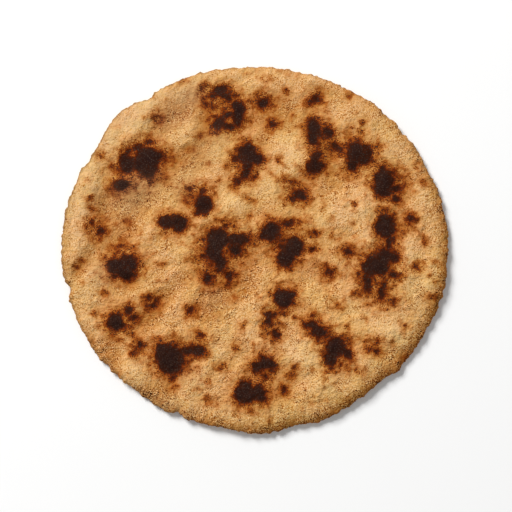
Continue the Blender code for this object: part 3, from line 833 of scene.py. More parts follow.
@dataclass
class Bread:
    """The whole roti as one closed skin.

    Lengths are in mm and bearings in degrees. A pair for the edge is for its thin side, at the
    upper left, and its blunt side, at the lower right. Where two numbers bound a change over the
    edge, it starts at the first and is full at the second: in mm, or as a share of the way over.
    """

    # The sheet and its rounded edge, which is rim_length long from the top to the underside.
    thickness: float = 5.0
    shoulders: tuple[float, float] = (2.2, 8.0)
    heel: float = 2.6
    edge_height: float = 0.42
    rim_length: float = 9.0
    blunt_bearing: float = 308.0
    blunt_power: float = 1.5
    thin_bearing: float = 142.0
    thin_power: float = 2.0
    top_cells: int = 256
    rim_step: int = 15

    # The crumb. Creased noise is its size without its sign, about crease_mean on average.
    crease_mean: float = 0.3
    pebble_size: float = 4.4
    pebble_height: float = 0.50
    pebble_rounding: float = 0.12
    pebble_mean: float = 0.35
    grit_size: float = 2.6
    grit_height: float = 0.16
    grit_shift: float = 77.0
    crag_size: float = 2.6
    crag_heights: tuple[float, float] = (0.5, 1.2)
    crag_stretch: float = 2.4
    crag_start: tuple[float, float] = (-2.0, 2.0)
    crag_end: tuple[float, float] = (0.65, 0.95)
    least_coarse: float = 0.75
    more_coarse: float = 0.35
    coarser_way: tuple[float, float] = (0.4, -1.0)
    coarser_over: float = 90.0

    # How far the edges of the marks wander, and the colouring of the rim, much of it painted shade.
    warp_sizes: tuple[float, float] = (4.2, 1.9)
    warp_reaches: tuple[float, float] = (0.9, 0.5)
    warp_shifts: tuple[float, float] = (13.0, -17.0)
    rim_browning_and_shade_width: float = 8.0
    rim_browning_and_shade_end: tuple[float, float] = (0.7, 0.95)
    dull_width: float = 1.3
    dull_fade: float = 1.1
    dull_end: tuple[float, float] = (0.4, 0.8)
    sallow_band: tuple[float, float] = (3.0, 22.0)

    # The parts of the square map, each from its low to its high side.
    map_width: tuple[float, float] = (0.002, 0.998)
    top_part: tuple[float, float] = (0.38, 0.998)
    under_part: tuple[float, float] = (0.11, 0.37)
    rim_parts: tuple = ((0.002, 0.049), (0.056, 0.103))

    def __post_init__(self) -> None:
        """Reads the solid's size from the frame and draws what is scattered."""
        low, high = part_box(NODE)
        self.low, self.high = np.array(low) / MM, np.array(high) / MM
        self.half = float(self.high[0] - self.low[0]) / 2
        self.half_depth = float(self.high[1] - self.low[1]) / 2
        self.under_cells = self.top_cells // 2
        self.lumps = LUMPS.mounds(self.half)
        self.hollows = HOLLOWS.mounds(self.half)
        self.crumb = Crumb(seed=41)

    def reach(self, bearing: np.ndarray, drop: float = 0.0) -> np.ndarray:
        """Distance from the middle to the edge: an ellipse, plus bell-shaped swells and tears.

        Args:
            bearing: in radians.
            drop: how far down over the rim it is measured, in mm, where the tears are others.

        Returns:
            Distances in mm.
        """
        across = self.half_depth * np.cos(bearing)
        along = self.half * np.sin(bearing)
        found = self.half * self.half_depth / np.hypot(across, along)
        around = self.half * np.cos(bearing), self.half * np.sin(bearing)
        place = np.stack([*around, np.full_like(bearing, drop)], axis=1)
        for swell in OUTLINE:
            away = (np.degrees(bearing) - swell.bearing + 180) % 360 - 180
            found = found + swell.reach * np.exp(-((away / swell.spread) ** 2))
        for size, depth in TORN_EDGE:
            found = found + depth * (np.abs(self.crumb.at(place, size)) - self.crease_mean)
        return found

    @staticmethod
    def facing(bearing: np.ndarray, middle: float, power: float) -> np.ndarray:
        """1 at the middle bearing and 0 opposite it: half of 1 plus the cosine, to this power."""
        return (0.5 + 0.5 * np.cos(bearing - math.radians(middle))) ** power

    def bluntness(self, bearing: np.ndarray) -> np.ndarray:
        """0 where the edge is thin and flat on top, 1 where it is blunt and craggy."""
        return self.facing(bearing, self.blunt_bearing, self.blunt_power)

    def shoulder(self, bearing: np.ndarray) -> np.ndarray:
        """How far in from the edge the top begins to bend down."""
        thin, blunt = self.shoulders
        return thin + (blunt - thin) * self.bluntness(bearing)

    def top_border(self, bearing: np.ndarray) -> np.ndarray:
        """How far out the top goes before it bends down."""
        return self.reach(bearing) - self.shoulder(bearing)

    def under_border(self, bearing: np.ndarray) -> np.ndarray:
        """How far out the underside goes before it bends up."""
        return self.reach(bearing, self.rim_length) - self.heel

    def lift(self, x: np.ndarray, y: np.ndarray) -> np.ndarray:
        """Height of the underside: 0, plus hollows and where the sheet bends up."""
        return height_of(LIFTS, x, y) + height_of(self.hollows, x, y)

    def unevenness(self, x: np.ndarray, y: np.ndarray) -> np.ndarray:
        """What the top adds to an even sheet: patches, blisters and lumps."""
        patches = PATCH_RELIEF * height_of(PATCHES, x, y)
        return patches + height_of(BLISTERS, x, y) + height_of(self.lumps, x, y)

    def top_side(self, x: np.ndarray, y: np.ndarray) -> np.ndarray:
        """Height of the top: the sheet's bend and thickness, plus its unevenness."""
        return height_of(LIFTS, x, y) + self.thickness + self.unevenness(x, y)

    def sheet_points(self, cells: int, border: Callable, height: Callable) -> np.ndarray:
        """Points of one face of the bread, row by row.

        A square grid of -1 to 1 is pressed out into a disc: the larger of |u| and |v| is the share
        of the way out, and the smaller over the larger, times 45 degrees, is how far round.

        Args:
            cells: along each side of the grid.
            border: how far out the face goes, as a function of the bearing.
            height: function of x and y.

        Returns:
            Points in mm.
        """
        steps = np.linspace(-1, 1, cells + 1)
        u, v = (part.ravel() for part in np.meshgrid(steps, steps))
        along_u = np.abs(u) >= np.abs(v)
        major = np.where(along_u, u, v)
        minor = np.where(along_u, v, u)
        lean = math.pi / 4 * minor / np.where(major == 0, 1, major)
        angle = np.where(along_u, lean, math.pi / 2 - lean)
        bearing = np.arctan2(major * np.sin(angle), major * np.cos(angle))
        reach = np.abs(major) * border(bearing)
        x, y = reach * np.cos(bearing), reach * np.sin(bearing)
        return np.stack([x, y, height(x, y)], axis=1)

    def rim_points(self, bearing: np.ndarray, turn: float) -> np.ndarray:
        """One ring of the rounded edge.

        It is a quarter of an ellipse from the top's border out to the edge and another back in to
        the underside's border.

        Args:
            bearing: of each point, in radians.
            turn: degrees round, from 0 at the top to 180 at the underside.

        Returns:
            Points in mm.
        """
        edge = self.reach(bearing, turn / 180 * self.rim_length)
        edge_z = self.lift(edge * np.cos(bearing), edge * np.sin(bearing))
        edge_z = edge_z + self.edge_height * self.thickness
        border = self.top_border if turn <= 90 else self.under_border
        surface = self.top_side if turn <= 90 else self.lift
        start = border(bearing)
        start_z = surface(start * np.cos(bearing), start * np.sin(bearing))
        out = start + (edge - start) * math.sin(math.radians(turn))
        z = edge_z + (start_z - edge_z) * abs(math.cos(math.radians(turn)))
        return np.stack([out * np.cos(bearing), out * np.sin(bearing), z], axis=1)

    @staticmethod
    def grid_faces(cells: int, first: int) -> np.ndarray:
        """Quads of a square grid.

        Args:
            cells: along each side.
            first: number of its first point, from which they are numbered row by row.

        Returns:
            The four corners of each.
        """
        column, row = np.meshgrid(np.arange(cells), np.arange(cells))
        corner = (first + row * (cells + 1) + column).ravel()
        return np.stack([corner, corner + 1, corner + cells + 2, corner + cells + 1], axis=1)

    @staticmethod
    def grid_border(cells: int, first: int) -> np.ndarray:
        """Border points of such a grid.

        Args:
            cells: along each side.
            first: number of its first point.

        Returns:
            Their numbers, anticlockwise from the middle of its right side.
        """
        side = np.arange(cells)
        last = cells * (cells + 1)
        bottom = first + side
        right = first + side * (cells + 1) + cells
        top = first + last + cells - side
        left = first + last - side * (cells + 1)
        border = np.concatenate([bottom, right, top, left])
        return np.roll(border, -(cells + cells // 2))

    @staticmethod
    def ring_faces(ring: np.ndarray, next_ring: np.ndarray) -> np.ndarray:
        """Quads between two rings of as many points."""
        ahead, next_ahead = np.roll(ring, -1), np.roll(next_ring, -1)
        return np.stack([ring, next_ring, next_ahead, ahead], axis=1)

    def skin(self) -> tuple[np.ndarray, np.ndarray, np.ndarray, np.ndarray]:
        """Points, quads and triangles of the closed skin before its crumb.

        Returns:
            Points in mm, quads, triangles, and for each point how far round the edge it is, from 0
            on the top to 1 on the underside.
        """
        top = self.sheet_points(self.top_cells, self.top_border, self.top_side)
        under = self.sheet_points(self.under_cells, self.under_border, self.lift)
        round_count = 4 * self.top_cells
        bearing = np.arange(round_count) * math.tau / round_count
        turns = range(self.rim_step, 180, self.rim_step)
        rings = [self.rim_points(bearing, turn) for turn in turns]
        points = np.concatenate([top, *rings, under])
        around = np.concatenate(
            [np.zeros(len(top)), *(np.full(round_count, t / 180) for t in turns), np.ones(len(under))]
        )
        first_under = len(top) + len(rings) * round_count
        loops = [self.grid_border(self.top_cells, 0)]
        for number in range(len(rings)):
            loops.append(len(top) + number * round_count + np.arange(round_count))
        quads = [self.grid_faces(self.top_cells, 0)]
        quads += [self.ring_faces(a, b) for a, b in zip(loops, loops[1:])]
        quads.append(self.grid_faces(self.under_cells, first_under)[:, ::-1])
        fine = loops[-1]
        coarse = self.grid_border(self.under_cells, first_under)
        first, middle, last = fine[0::2], fine[1::2], np.roll(fine, -2)[0::2]
        near, far = coarse, np.roll(coarse, -1)
        triangles = np.concatenate(
            [
                np.stack([first, near, middle], axis=1),
                np.stack([middle, near, far], axis=1),
                np.stack([middle, far, last], axis=1),
            ]
        )
        return points, np.concatenate(quads), triangles, around

    def map_places(self) -> np.ndarray:
        """Where each corner of each face lies in the square map that the finish can be baked to.

        The top takes the upper part of the map and the underside the part below, each by the
        square grid that it is pressed out from. Below them the rim lies as two strips, one for
        each half of the way round.

        Returns:
            Places of 0 to 1, in the order of the faces' corners.
        """
        levels = 180 // self.rim_step
        start = np.arange(4 * self.top_cells)
        parts = [self.grid_places(self.top_cells, self.top_part)]
        for level in range(levels - 1):
            ways = (0, level), (0, level + 1), (1, level + 1), (1, level)
            parts.append(np.stack([self.strip_places(start, *way) for way in ways], axis=1))
        parts.append(self.grid_places(self.under_cells, self.under_part)[:, ::-1])
        start = start[::2]
        first, middle, last = (self.strip_places(start, step, levels - 1) for step in range(3))
        near, far = (self.strip_places(start, step, levels) for step in (0, 2))
        for three in (first, near, middle), (middle, near, far), (middle, far, last):
            parts.append(np.stack(three, axis=1))
        return np.concatenate([part.reshape(-1, 2) for part in parts])

    def grid_places(self, cells: int, part: tuple[float, float]) -> np.ndarray:
        """Places of the corners of a square grid's faces, spread over a part of the map's height."""
        across, up = np.meshgrid(*(np.linspace(*ends, cells + 1) for ends in (self.map_width, part)))
        return np.stack([across.ravel(), up.ravel()], axis=1)[self.grid_faces(cells, 0)]

    def strip_places(self, start: np.ndarray, step: int, level: int) -> np.ndarray:
        """Places on the rim's strips.

        Args:
            start: number of each point on the way round.
            step: how many points further on to look.
            level: how many rings over the edge.

        Returns:
            Places of 0 to 1.
        """
        half_way = 2 * self.top_cells
        half = start // half_way
        low, high = np.array(self.rim_parts)[half].T
        left, right = self.map_width
        across = left + (right - left) * (start - half * half_way + step) / half_way
        up = high - (high - low) * level * self.rim_step / 180
        return np.stack([across, up], axis=1)

    def fit(self, points: np.ndarray) -> np.ndarray:
        """Stretches and slides the points in X and Y so that they fill the solid's box.

        Args:
            points: of the skin, in mm.

        Returns:
            The points as they then lie.
        """
        low, high = points.min(axis=0), points.max(axis=0)
        share = (points - low) / (high - low)
        fitted = self.low + share * (self.high - self.low)
        fitted[:, 2] = points[:, 2]
        return fitted

    def crumbed(self, points: np.ndarray, normals: np.ndarray, around: np.ndarray) -> np.ndarray:
        """The points with the dough's own roughness, out along their normals.

        Pebbles are |noise|, which has round tops and creases, here a little rounded. Grit is finer
        noise. Crags are noise on the way round the rim and the way over it, drawn out along the
        edge, so that they are ridges parallel to it. The underside stays on or above the plane.

        Args:
            points: of the skin, in mm.
            normals: one for each point.
            around: how far round the edge each point is.

        Returns:
            Points in mm.
        """
        pebbles = np.hypot(self.crumb.at(points, self.pebble_size), self.pebble_rounding)
        pebbles = pebbles - self.pebble_mean
        grit = self.crumb.at(points + self.grit_shift, self.grit_size)
        bearing = np.arctan2(points[:, 1], points[:, 0])
        inward = self.top_border(bearing) - np.hypot(points[:, 0], points[:, 1])
        over = np.where(around > 0, around * self.rim_length, -inward)
        way = np.stack([points[:, 0], points[:, 1], self.crag_stretch * over], axis=1)
        crags = np.abs(self.crumb.at(way / self.crag_stretch, self.crag_size)) - self.crease_mean
        rim = smooth_step(*self.crag_start, over) * (1 - smooth_step(*self.crag_end, around))
        rough = self.coarseness(points)
        out = rough * (self.pebble_height * pebbles + self.grit_height * grit)
        smooth, craggy = self.crag_heights
        out = out + (smooth + (craggy - smooth) * self.bluntness(bearing)) * rim * crags
        moved = points + out[:, None] * normals
        moved[:, 2] = np.maximum(moved[:, 2], 0)
        return moved

    def coarseness(self, points: np.ndarray) -> np.ndarray:
        """How coarse the crumb is: least at the upper left, and more towards the lower right.

        It rises by a smooth step along the way to there.

        Args:
            points: of the skin, in mm.

        Returns:
            Shares of the relief and of the colour's contrast.
        """
        across = points[:, :2] @ np.array(self.coarser_way)
        rising = smooth_step(-self.coarser_over, self.coarser_over, across)
        return self.least_coarse + self.more_coarse * rising

    def fields(self, points: np.ndarray, around: np.ndarray) -> dict[str, np.ndarray]:
        """What the finish reads at each point.

        Args:
            points: of the skin, in mm.
            around: how far round the edge each point is.

        Returns:
            By name, the scorch, from 0 to 1 for char; the tone and the warmth of the patches, which
            may be negative; how browned and shaded the blunt edge is, how much painted shade darkens
            the thin rim and how sallow the dough near the blunt one, from 0 to 1; and how coarse the
            crumb is.
        """
        x, y = points[:, 0], points[:, 1]
        warped = points[:, :2].copy()
        for number, (size, reach) in enumerate(zip(self.warp_sizes, self.warp_reaches), start=1):
            for axis, shift in enumerate(self.warp_shifts):
                warped[:, axis] += reach * self.crumb.at(points + shift * number, size)
        above = heat_of((*TOP_SIDE_MARKS, *Freckles().marks(self.half)), *warped.T)
        below = heat_of(HiddenMarks().marks(self.half), *warped.T)
        return {
            "scorch": np.where(around < 0.5, above, below),
            "tone": height_of(PATCHES, x, y),
            "warmth": height_of(WARM_PATCHES, x, y),
            "edge": self.browned_and_shaded_rim(points, around),
            "dull": self.painted_thin_rim_shade(points, around),
            "sallow": self.sallow_rim(points),
            "coarse": self.coarseness(points),
        }

    def browned_and_shaded_rim(self, points: np.ndarray, around: np.ndarray) -> np.ndarray:
        """How browned the blunt edge is, as painted shade and as a more baked crust.

        Args:
            points: of the skin, in mm.
            around: how far round the edge each point is.

        Returns:
            1 outermost, smoothly down to 0 at the band's width and on the underside.
        """
        bearing, inset = self.inset(points)
        band = 1 - smooth_step(0, self.rim_browning_and_shade_width, inset)
        return band * (1 - smooth_step(*self.rim_browning_and_shade_end, around)) * self.bluntness(bearing)

    def painted_thin_rim_shade(self, points: np.ndarray, around: np.ndarray) -> np.ndarray:
        """How much painted shade darkens the edge where it is thin and faces the key light.

        Args:
            points: of the skin, in mm.
            around: how far round the edge each point is.

        Returns:
            1 outermost, fading exponentially further in than its width, and 0 on the underside.
        """
        bearing, inset = self.inset(points)
        line = np.exp(-np.maximum(inset - self.dull_width, 0) / self.dull_fade)
        line = line * (1 - smooth_step(*self.dull_end, around))
        return line * self.facing(bearing, self.thin_bearing, self.thin_power)

    def sallow_rim(self, points: np.ndarray) -> np.ndarray:
        """How yellow the dough is round the blunt side: 1 at the edge, 0 in from the band."""
        bearing, inset = self.inset(points)
        return (1 - smooth_step(*self.sallow_band, inset)) * self.bluntness(bearing)

    def inset(self, points: np.ndarray) -> tuple[np.ndarray, np.ndarray]:
        """Bearing of each point, and how far in from the edge it is in mm."""
        bearing = np.arctan2(points[:, 1], points[:, 0])
        return bearing, self.reach(bearing) - np.hypot(points[:, 0], points[:, 1])

    def build(self) -> bpy.types.Object:
        """Makes the piece, its attributes and its map.

        Returns:
            The piece, in the scene, without a finish.
        """
        points, quads, triangles, around = self.skin()
        points = self.fit(points)
        mesh = bpy.data.meshes.new(PIECE)
        faces = quads.tolist() + triangles.tolist()
        mesh.from_pydata((points * MM).tolist(), [], faces)
        normals = np.empty(len(points) * 3, np.float32)
        mesh.vertex_normals.foreach_get("vector", normals)
        crumbed = self.crumbed(points, normals.reshape(-1, 3), around)
        mesh.vertices.foreach_set("co", (crumbed * MM).ravel())
        for name, values in self.fields(points, around).items():
            attribute = mesh.attributes.new(name, "FLOAT", "POINT")
            attribute.data.foreach_set("value", values.astype(np.float32))
        places = mesh.uv_layers.new(name=BAKE_MAP)
        places.data.foreach_set("uv", self.map_places().astype(np.float32).ravel())
        mesh.shade_smooth()
        mesh.update()
        piece = bpy.data.objects.new(PIECE, mesh)
        bpy.context.scene.collection.objects.link(piece)
        return piece


# ---------------------------------------------------------------------------------------------
# Shader expressions
# ---------------------------------------------------------------------------------------------


class Field:
    """A number that varies over a surface: a socket whose arithmetic adds Math nodes."""

    def __init__(self, nodes: "Nodes", socket: bpy.types.NodeSocket) -> None:
        """Wraps a socket.

        Args:
            nodes: the tree that it is in.
            socket: an output.
        """
        self.nodes = nodes
        self.socket = socket

    def _math(self, operation: str, *values: Any, clamp: bool = False) -> "Field":
        """A Math node of this operation on the values."""
        settings = {"operation": operation, "use_clamp": clamp}
        return self.nodes.add("ShaderNodeMath", settings, dict(enumerate(values)))

    def __add__(self, other: Any) -> "Field":
        """Sum."""
        return self._math("ADD", self, other)

    __radd__ = __add__

    def __sub__(self, other: Any) -> "Field":
        """Difference."""
        return self._math("SUBTRACT", self, other)

    def __rsub__(self, other: Any) -> "Field":
        """Difference from a number."""
        return self._math("SUBTRACT", other, self)

    def __mul__(self, other: Any) -> "Field":
        """Product."""
        return self._math("MULTIPLY", self, other)

    __rmul__ = __mul__

    def clamped(self) -> "Field":
        """The value kept between 0 and 1."""
        return self._math("ADD", self, 0.0, clamp=True)

    def between(self, low: float, high: float) -> "Field":
        """0 up to low, 1 from high on and smooth between them, the other way where low is higher.

        Args:
            low: where it starts to rise.
            high: where it is full.

        Returns:
            The share.
        """
        settings = {"interpolation_type": "SMOOTHSTEP"}
        inputs = {"Value": self, "From Min": low, "From Max": high}
        return self.nodes.add("ShaderNodeMapRange", settings, inputs)


@dataclass(frozen=True)
class Noise:
    """A noise of 0 to 1. size is the width of its lumps in mm.

    detail is how many finer layers it has and roughness how much they count. shift moves it in
    metres along each axis, to make it another pattern.
    """

    size: float
    detail: float = 2.0
    roughness: float = 0.55
    shift: float = 0.0


class Nodes:
    """Adds nodes to one material."""

    def __init__(self, material: bpy.types.Material) -> None:
        """Empties the material's tree but for its shader and output.

        Args:
            material: to add nodes to.
        """
        material.use_nodes = True
        self.tree = material.node_tree
        self.shader = self.tree.nodes["Principled BSDF"]

    def add(
        self,
        kind: str,
        settings: dict | None = None,
        inputs: dict | None = None,
        output: str | int = 0,
    ) -> Field:
        """Adds a node.

        Args:
            kind: its type.
            settings: attributes, set first; a ramp's stops is a list of (place, colour).
            inputs: values or links, by the socket's name or number.
            output: name or number of the output that is wanted.

        Returns:
            That output.
        """
        node = self.tree.nodes.new(kind)
        for name, value in (settings or {}).items():
            if name == "stops":
                self._set_stops(node.color_ramp, value)
            else:
                setattr(node, name, value)
        for name, value in (inputs or {}).items():
            self.set(node.inputs[name], value)
        return Field(self, node.outputs[output])

    @staticmethod
    def _set_stops(ramp: bpy.types.ColorRamp, stops: Sequence[tuple]) -> None:
        """Gives a ramp its stops.

        Args:
            ramp: with the two stops of a new one.
            stops: pairs of place and colour, in order.
        """
        for element in list(ramp.elements)[1:]:
            ramp.elements.remove(element)
        for number, (place, colour) in enumerate(stops):
            element = ramp.elements[0] if number == 0 else ramp.elements.new(place)
            element.position = place
            element.color = (*colour, 1.0)

    def set(self, socket: bpy.types.NodeSocket, value: Any) -> None:
        """Links a field to a socket, or sets the socket's own value.

        Args:
            socket: of one of the nodes.
            value: a field, or a number or colour that is the same all over.
        """
        if isinstance(value, Field):
            self.tree.links.new(value.socket, socket)
        else:
            socket.default_value = value

    def place(self) -> Field:
        """Object coordinates."""
        return self.add("ShaderNodeTexCoord", output="Object")

    def attribute(self, name: str) -> Field:
        """The piece's own attribute of that name."""
        return self.add("ShaderNodeAttribute", {"attribute_name": name}, output="Fac")

    def noise(self, noise: Noise, aside: float = 0.0) -> Field:
        """A noise on object coordinates.

        Args:
            noise: what it is like.
            aside: moves it this many mm to the lower right.

        Returns:
            Its value, 0 to 1.
        """
        step = aside * MM * math.sqrt(0.5)
        move = (noise.shift - step, noise.shift + step, noise.shift)
        place = self.add("ShaderNodeVectorMath", {"operation": "ADD"}, {0: self.place(), 1: move})
        inputs = {
            "Vector": place,
            "Scale": 1 / (noise.size * MM),
            "Detail": noise.detail,
            "Roughness": noise.roughness,
        }
        return self.add("ShaderNodeTexNoise", None, inputs)

    def mix(self, share: Any, first: Any, second: Any, blend: str = "MIX") -> Field:
        """Colour between two others.

        Args:
            share: of the second, 0 to 1.
            first: colour or field.
            second: colour or field.
            blend: the Mix node's blend type.

        Returns:
            The mixed colour.
        """
        settings = {"data_type": "RGBA", "blend_type": blend}
        inputs = {0: share, 6: rgba(first), 7: rgba(second)}
        return self.add("ShaderNodeMix", settings, inputs, output=2)

    def tint(self, colour: Any, share: Any, shade: Any) -> Field:
        """The colour times a shade, in part where share is below 1."""
        return self.mix(share, colour, shade, blend="MULTIPLY")


def rgba(colour: Any) -> Any:
    """A colour with its alpha, or a field as it is."""
    return colour if isinstance(colour, Field) else (*colour, 1.0)


def linear(red: float, green: float, blue: float) -> tuple[float, float, float]:
    """A screen colour as linear light, by the usual curve of screens.

    Args:
        red: of 0 to 255.
        green: of 0 to 255.
        blue: of 0 to 255.

    Returns:
        Shares of 0 to 1.
    """
    shares = [part / 255 for part in (red, green, blue)]
    return tuple(
        part / 12.92 if part <= 0.04045 else ((part + 0.055) / 1.055) ** 2.4 for part in shares
    )


@dataclass(frozen=True)
class Grains:
    """The noises that the finish is made of, from the finest to lumps of some 5 mm, all 0 to 1."""

    stipple: Field
    grain: Field
    mottle: Field
    cluster: Field


@dataclass(frozen=True)
class CrustFinish:
    """Baked sorghum dough on one scale of browning, from pale crumb at 0 to char at 1.

    Sizes are in mm, colours are screen colours and tints are shares of the light that is left.
    Where two numbers bound a change, it starts at the first and is full at the second.
    """

    browning: tuple = (
        (0.00, (225, 183, 133)),
        (0.12, (215, 168, 114)),
        (0.22, (204, 151, 93)),
        (0.34, (187, 131, 74)),
        (0.46, (172, 110, 50)),
        (0.56, (154, 89, 32)),
        (0.66, (135, 67, 20)),
        (0.75, (112, 48, 11)),
        (0.83, (86, 32, 5)),
        (0.89, (61, 24, 5)),
        (0.94, (48, 22, 10)),
        (1.00, (36, 19, 15)),
    )

    # The noises, from the finest to patches as wide as a thumb.
    stipple: Noise = Noise(size=0.52, detail=0.0, shift=0.31)
    grain: Noise = Noise(size=1.2, detail=1.0, roughness=0.6)
    mottle: Noise = Noise(size=2.8, detail=2.0, roughness=0.6, shift=0.53)
    cluster: Noise = Noise(size=5.5, detail=2.0, roughness=0.6, shift=0.83)
    brown_patches: Noise = Noise(size=17.0, detail=3.0, shift=0.07)
    hue_patches: Noise = Noise(size=17.0, detail=4.0, roughness=0.7, shift=0.41)

    # The burn. Grain breaks it up wherever it isn't full, and light toasting is patchy.
    patchy_heats: tuple = (0.5, 0.2)
    untoasted: tuple = (0.62, 0.40)
    patchiness: float = 0.6
    ragged_from: tuple = (0.02, 0.25)
    steady_from: tuple = (0.4, 0.95)
    steadiness: float = 0.8
    cluster_raggedness: float = 0.5
    mottle_raggedness: float = 0.7
    grain_raggedness: float = 0.5
    stipple_raggedness: float = 1.9

    # How brown the dough is away from the marks, and how much darker its grain is at most.
    bare_level: float = 0.172
    patch_swing: float = 0.12
    pale_tones: tuple = (-0.2, 2.4)
    paling: float = 0.23
    dull_tones: tuple = (0.2, -1.6)
    dulling: float = 0.20
    dark_lumps: tuple = (0.5, 0.72)
    mottle_browning: float = 0.06
    cluster_browning: float = 0.10
    stipple_share: float = 1.6
    grain_share: float = 0.2
    fine_mean: float = 0.9
    least_contrast: float = 0.25
    cluster_contrasts: tuple = (0.38, 0.64)
    cluster_contrast: float = 0.6
    mottle_contrasts: tuple = (0.42, 0.66)
    mottle_contrast: float = 0.45
    contrast: float = 1.15

    # Painted shade on grain sides that face away from the upper left, and on the browner blunt rim.
    painted_grain_shade_step: float = 0.35
    painted_grain_shade_depth: float = 0.20
    mottle_painted_shade: float = 0.6
    rim_browning_and_shade_depth: float = 0.34
    edge_mottles: tuple = (0.6, 1.4)

    # Tints, and the two colours that it is mixed with.
    rosy: tuple = (1.0, 0.965, 0.97)
    olive: tuple = (0.98, 1.0, 0.91)
    rosy_hues: tuple = (0.35, 0.65)
    toasted: tuple = (1.0, 0.90, 0.92)
    toasted_burns: tuple = (0.02, 0.3)
    # Painted warm shade in the grain's low pits.
    crevice_shade: tuple = (1.0, 0.96, 0.68)
    crevice_shade_stipples: tuple = (0.48, 0.22)
    ashen: tuple = (176, 152, 112)
    ashen_share: float = 0.4
    ruddy: tuple = (1.0, 0.95, 0.85)
    sallow: tuple = (0.945, 1.0, 0.96)
    # Painted warm reflected light on the shaded blunt rim.
    painted_warm_bounce: tuple = (1.0, 0.94, 0.80)
    # Painted shade of the thin rim that faces the key light.
    thin_rim_shade: tuple = (0.37, 0.34, 0.27)
    thin_rim_shade_mottles: tuple = (0.75, 1.25)
    charred_levels: tuple = (0.7, 0.95)
    ash: tuple = (112, 88, 72)
    ash_specks: tuple = (0.55, 0.8)
    ash_share: float = 0.3

    # How rough the surface is, and how deep its grain.
    dough_roughness: float = 0.88
    char_roughness: float = 0.70
    gloss: float = 0.05
    grain_depth: float = 0.9
    grain_relief: float = 0.45
    mottle_relief: float = 0.8
    stipple_relief: float = 0.2
    char_smoothing: float = 0.6
    edge_smoothing: float = 0.5

    def material(self) -> bpy.types.Material:
        """Makes the material.

        Returns:
            The material, which reads the piece's own attributes.
        """
        material = bpy.data.materials.new("baked_crust")
        nodes = Nodes(material)
        grains = Grains(
            stipple=nodes.noise(self.stipple),
            grain=nodes.noise(self.grain),
            mottle=nodes.noise(self.mottle),
            cluster=nodes.noise(self.cluster),
        )
        edge = self.mottled(nodes.attribute("edge"), grains, *self.edge_mottles)
        burn = self.burn(nodes, grains)
        # Painted shade browns the grain's sides that face away from the key light at the upper left.
        bare = self.bare_dough(nodes, grains) + self.painted_grain_shade(nodes, grains) * self.painted_grain_shade_depth
        # Browns the blunt rim: painted shade of the side away from the key light, and a more baked
        # crust.
        bare = (bare + edge * self.rim_browning_and_shade_depth).clamped()
        level = 1.0 - (1.0 - bare) * (1.0 - burn)
        charred = level.between(*self.charred_levels)

        colour = self.colour(nodes, grains, level, burn, edge)
        specks = charred * grains.stipple.between(*self.ash_specks) * self.ash_share
        shader = nodes.shader.inputs
        nodes.set(shader["Base Color"], nodes.mix(specks, colour, linear(*self.ash)))
        roughness = self.dough_roughness - charred * (self.dough_roughness - self.char_roughness)
        nodes.set(shader["Roughness"], roughness)
        nodes.set(shader["Normal"], self.bump(nodes, grains, charred, edge))
        nodes.set(shader["Specular IOR Level"], self.gloss)
        return material

    @staticmethod
    def mottled(band: Field, grains: Grains, least: float, most: float) -> Field:
        """The band times a share that goes with the mottle, from least to most."""
        return band * (least + grains.mottle * (most - least))

    def burn(self, nodes: Nodes, grains: Grains) -> Field:
        """How burnt the dough is, with ragged edges.

        Args:
            nodes: the tree.
            grains: its noises.

        Returns:
            The level, 0 to 1.
        """
        heat = nodes.attribute("scorch")
        gaps = heat.between(*self.patchy_heats) * grains.cluster.between(*self.untoasted)
        steady = heat.between(*self.steady_from) * self.steadiness
        window = heat.between(*self.ragged_from) * (1.0 - steady)
        ragged = (grains.cluster - 0.5) * self.cluster_raggedness
        ragged = ragged + (grains.mottle - 0.5) * self.mottle_raggedness
        ragged = ragged + (grains.grain - 0.5) * self.grain_raggedness
        ragged = ragged + (grains.stipple - 0.5) * self.stipple_raggedness
        return ((heat + ragged * window) * (1.0 - gaps * self.patchiness)).clamped()

    def bare_dough(self, nodes: Nodes, grains: Grains) -> Field:
        """How brown the dough is away from the scorch marks.

        Args:
            nodes: the tree.
            grains: its noises.

        Returns:
            The level, about 0 to 0.6.
        """
        patches = nodes.noise(self.brown_patches)
        tone = nodes.attribute("tone")
        mottle, cluster = grains.mottle, grains.cluster
        level = self.bare_level - (patches - 0.5) * self.patch_swing
        # Paler on the raised patches and duller in the low ones: partly the dough's own tone, partly
        # painted light and shade.
        level = level - tone.between(*self.pale_tones) * self.paling
        level = level + tone.between(*self.dull_tones) * self.dulling
        level = level + mottle.between(*self.dark_lumps) * self.mottle_browning
        level = level + cluster.between(*self.dark_lumps) * self.cluster_browning
        contrast = self.least_contrast
        contrast = contrast + cluster.between(*self.cluster_contrasts) * self.cluster_contrast
        contrast = contrast + mottle.between(*self.mottle_contrasts) * self.mottle_contrast
        contrast = contrast * nodes.attribute("coarse") * self.contrast
        fine = grains.stipple * self.stipple_share + grains.grain * self.grain_share
        return level - (fine - self.fine_mean) * contrast

    def painted_grain_shade(self, nodes: Nodes, grains: Grains) -> Field:
        """How much lower the grain is here than a step further to the lower right: painted shade.

        Args:
            nodes: the tree.
            grains: its noises.

        Returns:
            The difference, positive on the side of a hollow that faces the upper left.
        """
        fine = nodes.noise(self.grain, aside=self.painted_grain_shade_step) - grains.grain
        broad = nodes.noise(self.mottle, aside=self.painted_grain_shade_step * 2) - grains.mottle
        return fine + broad * self.mottle_painted_shade

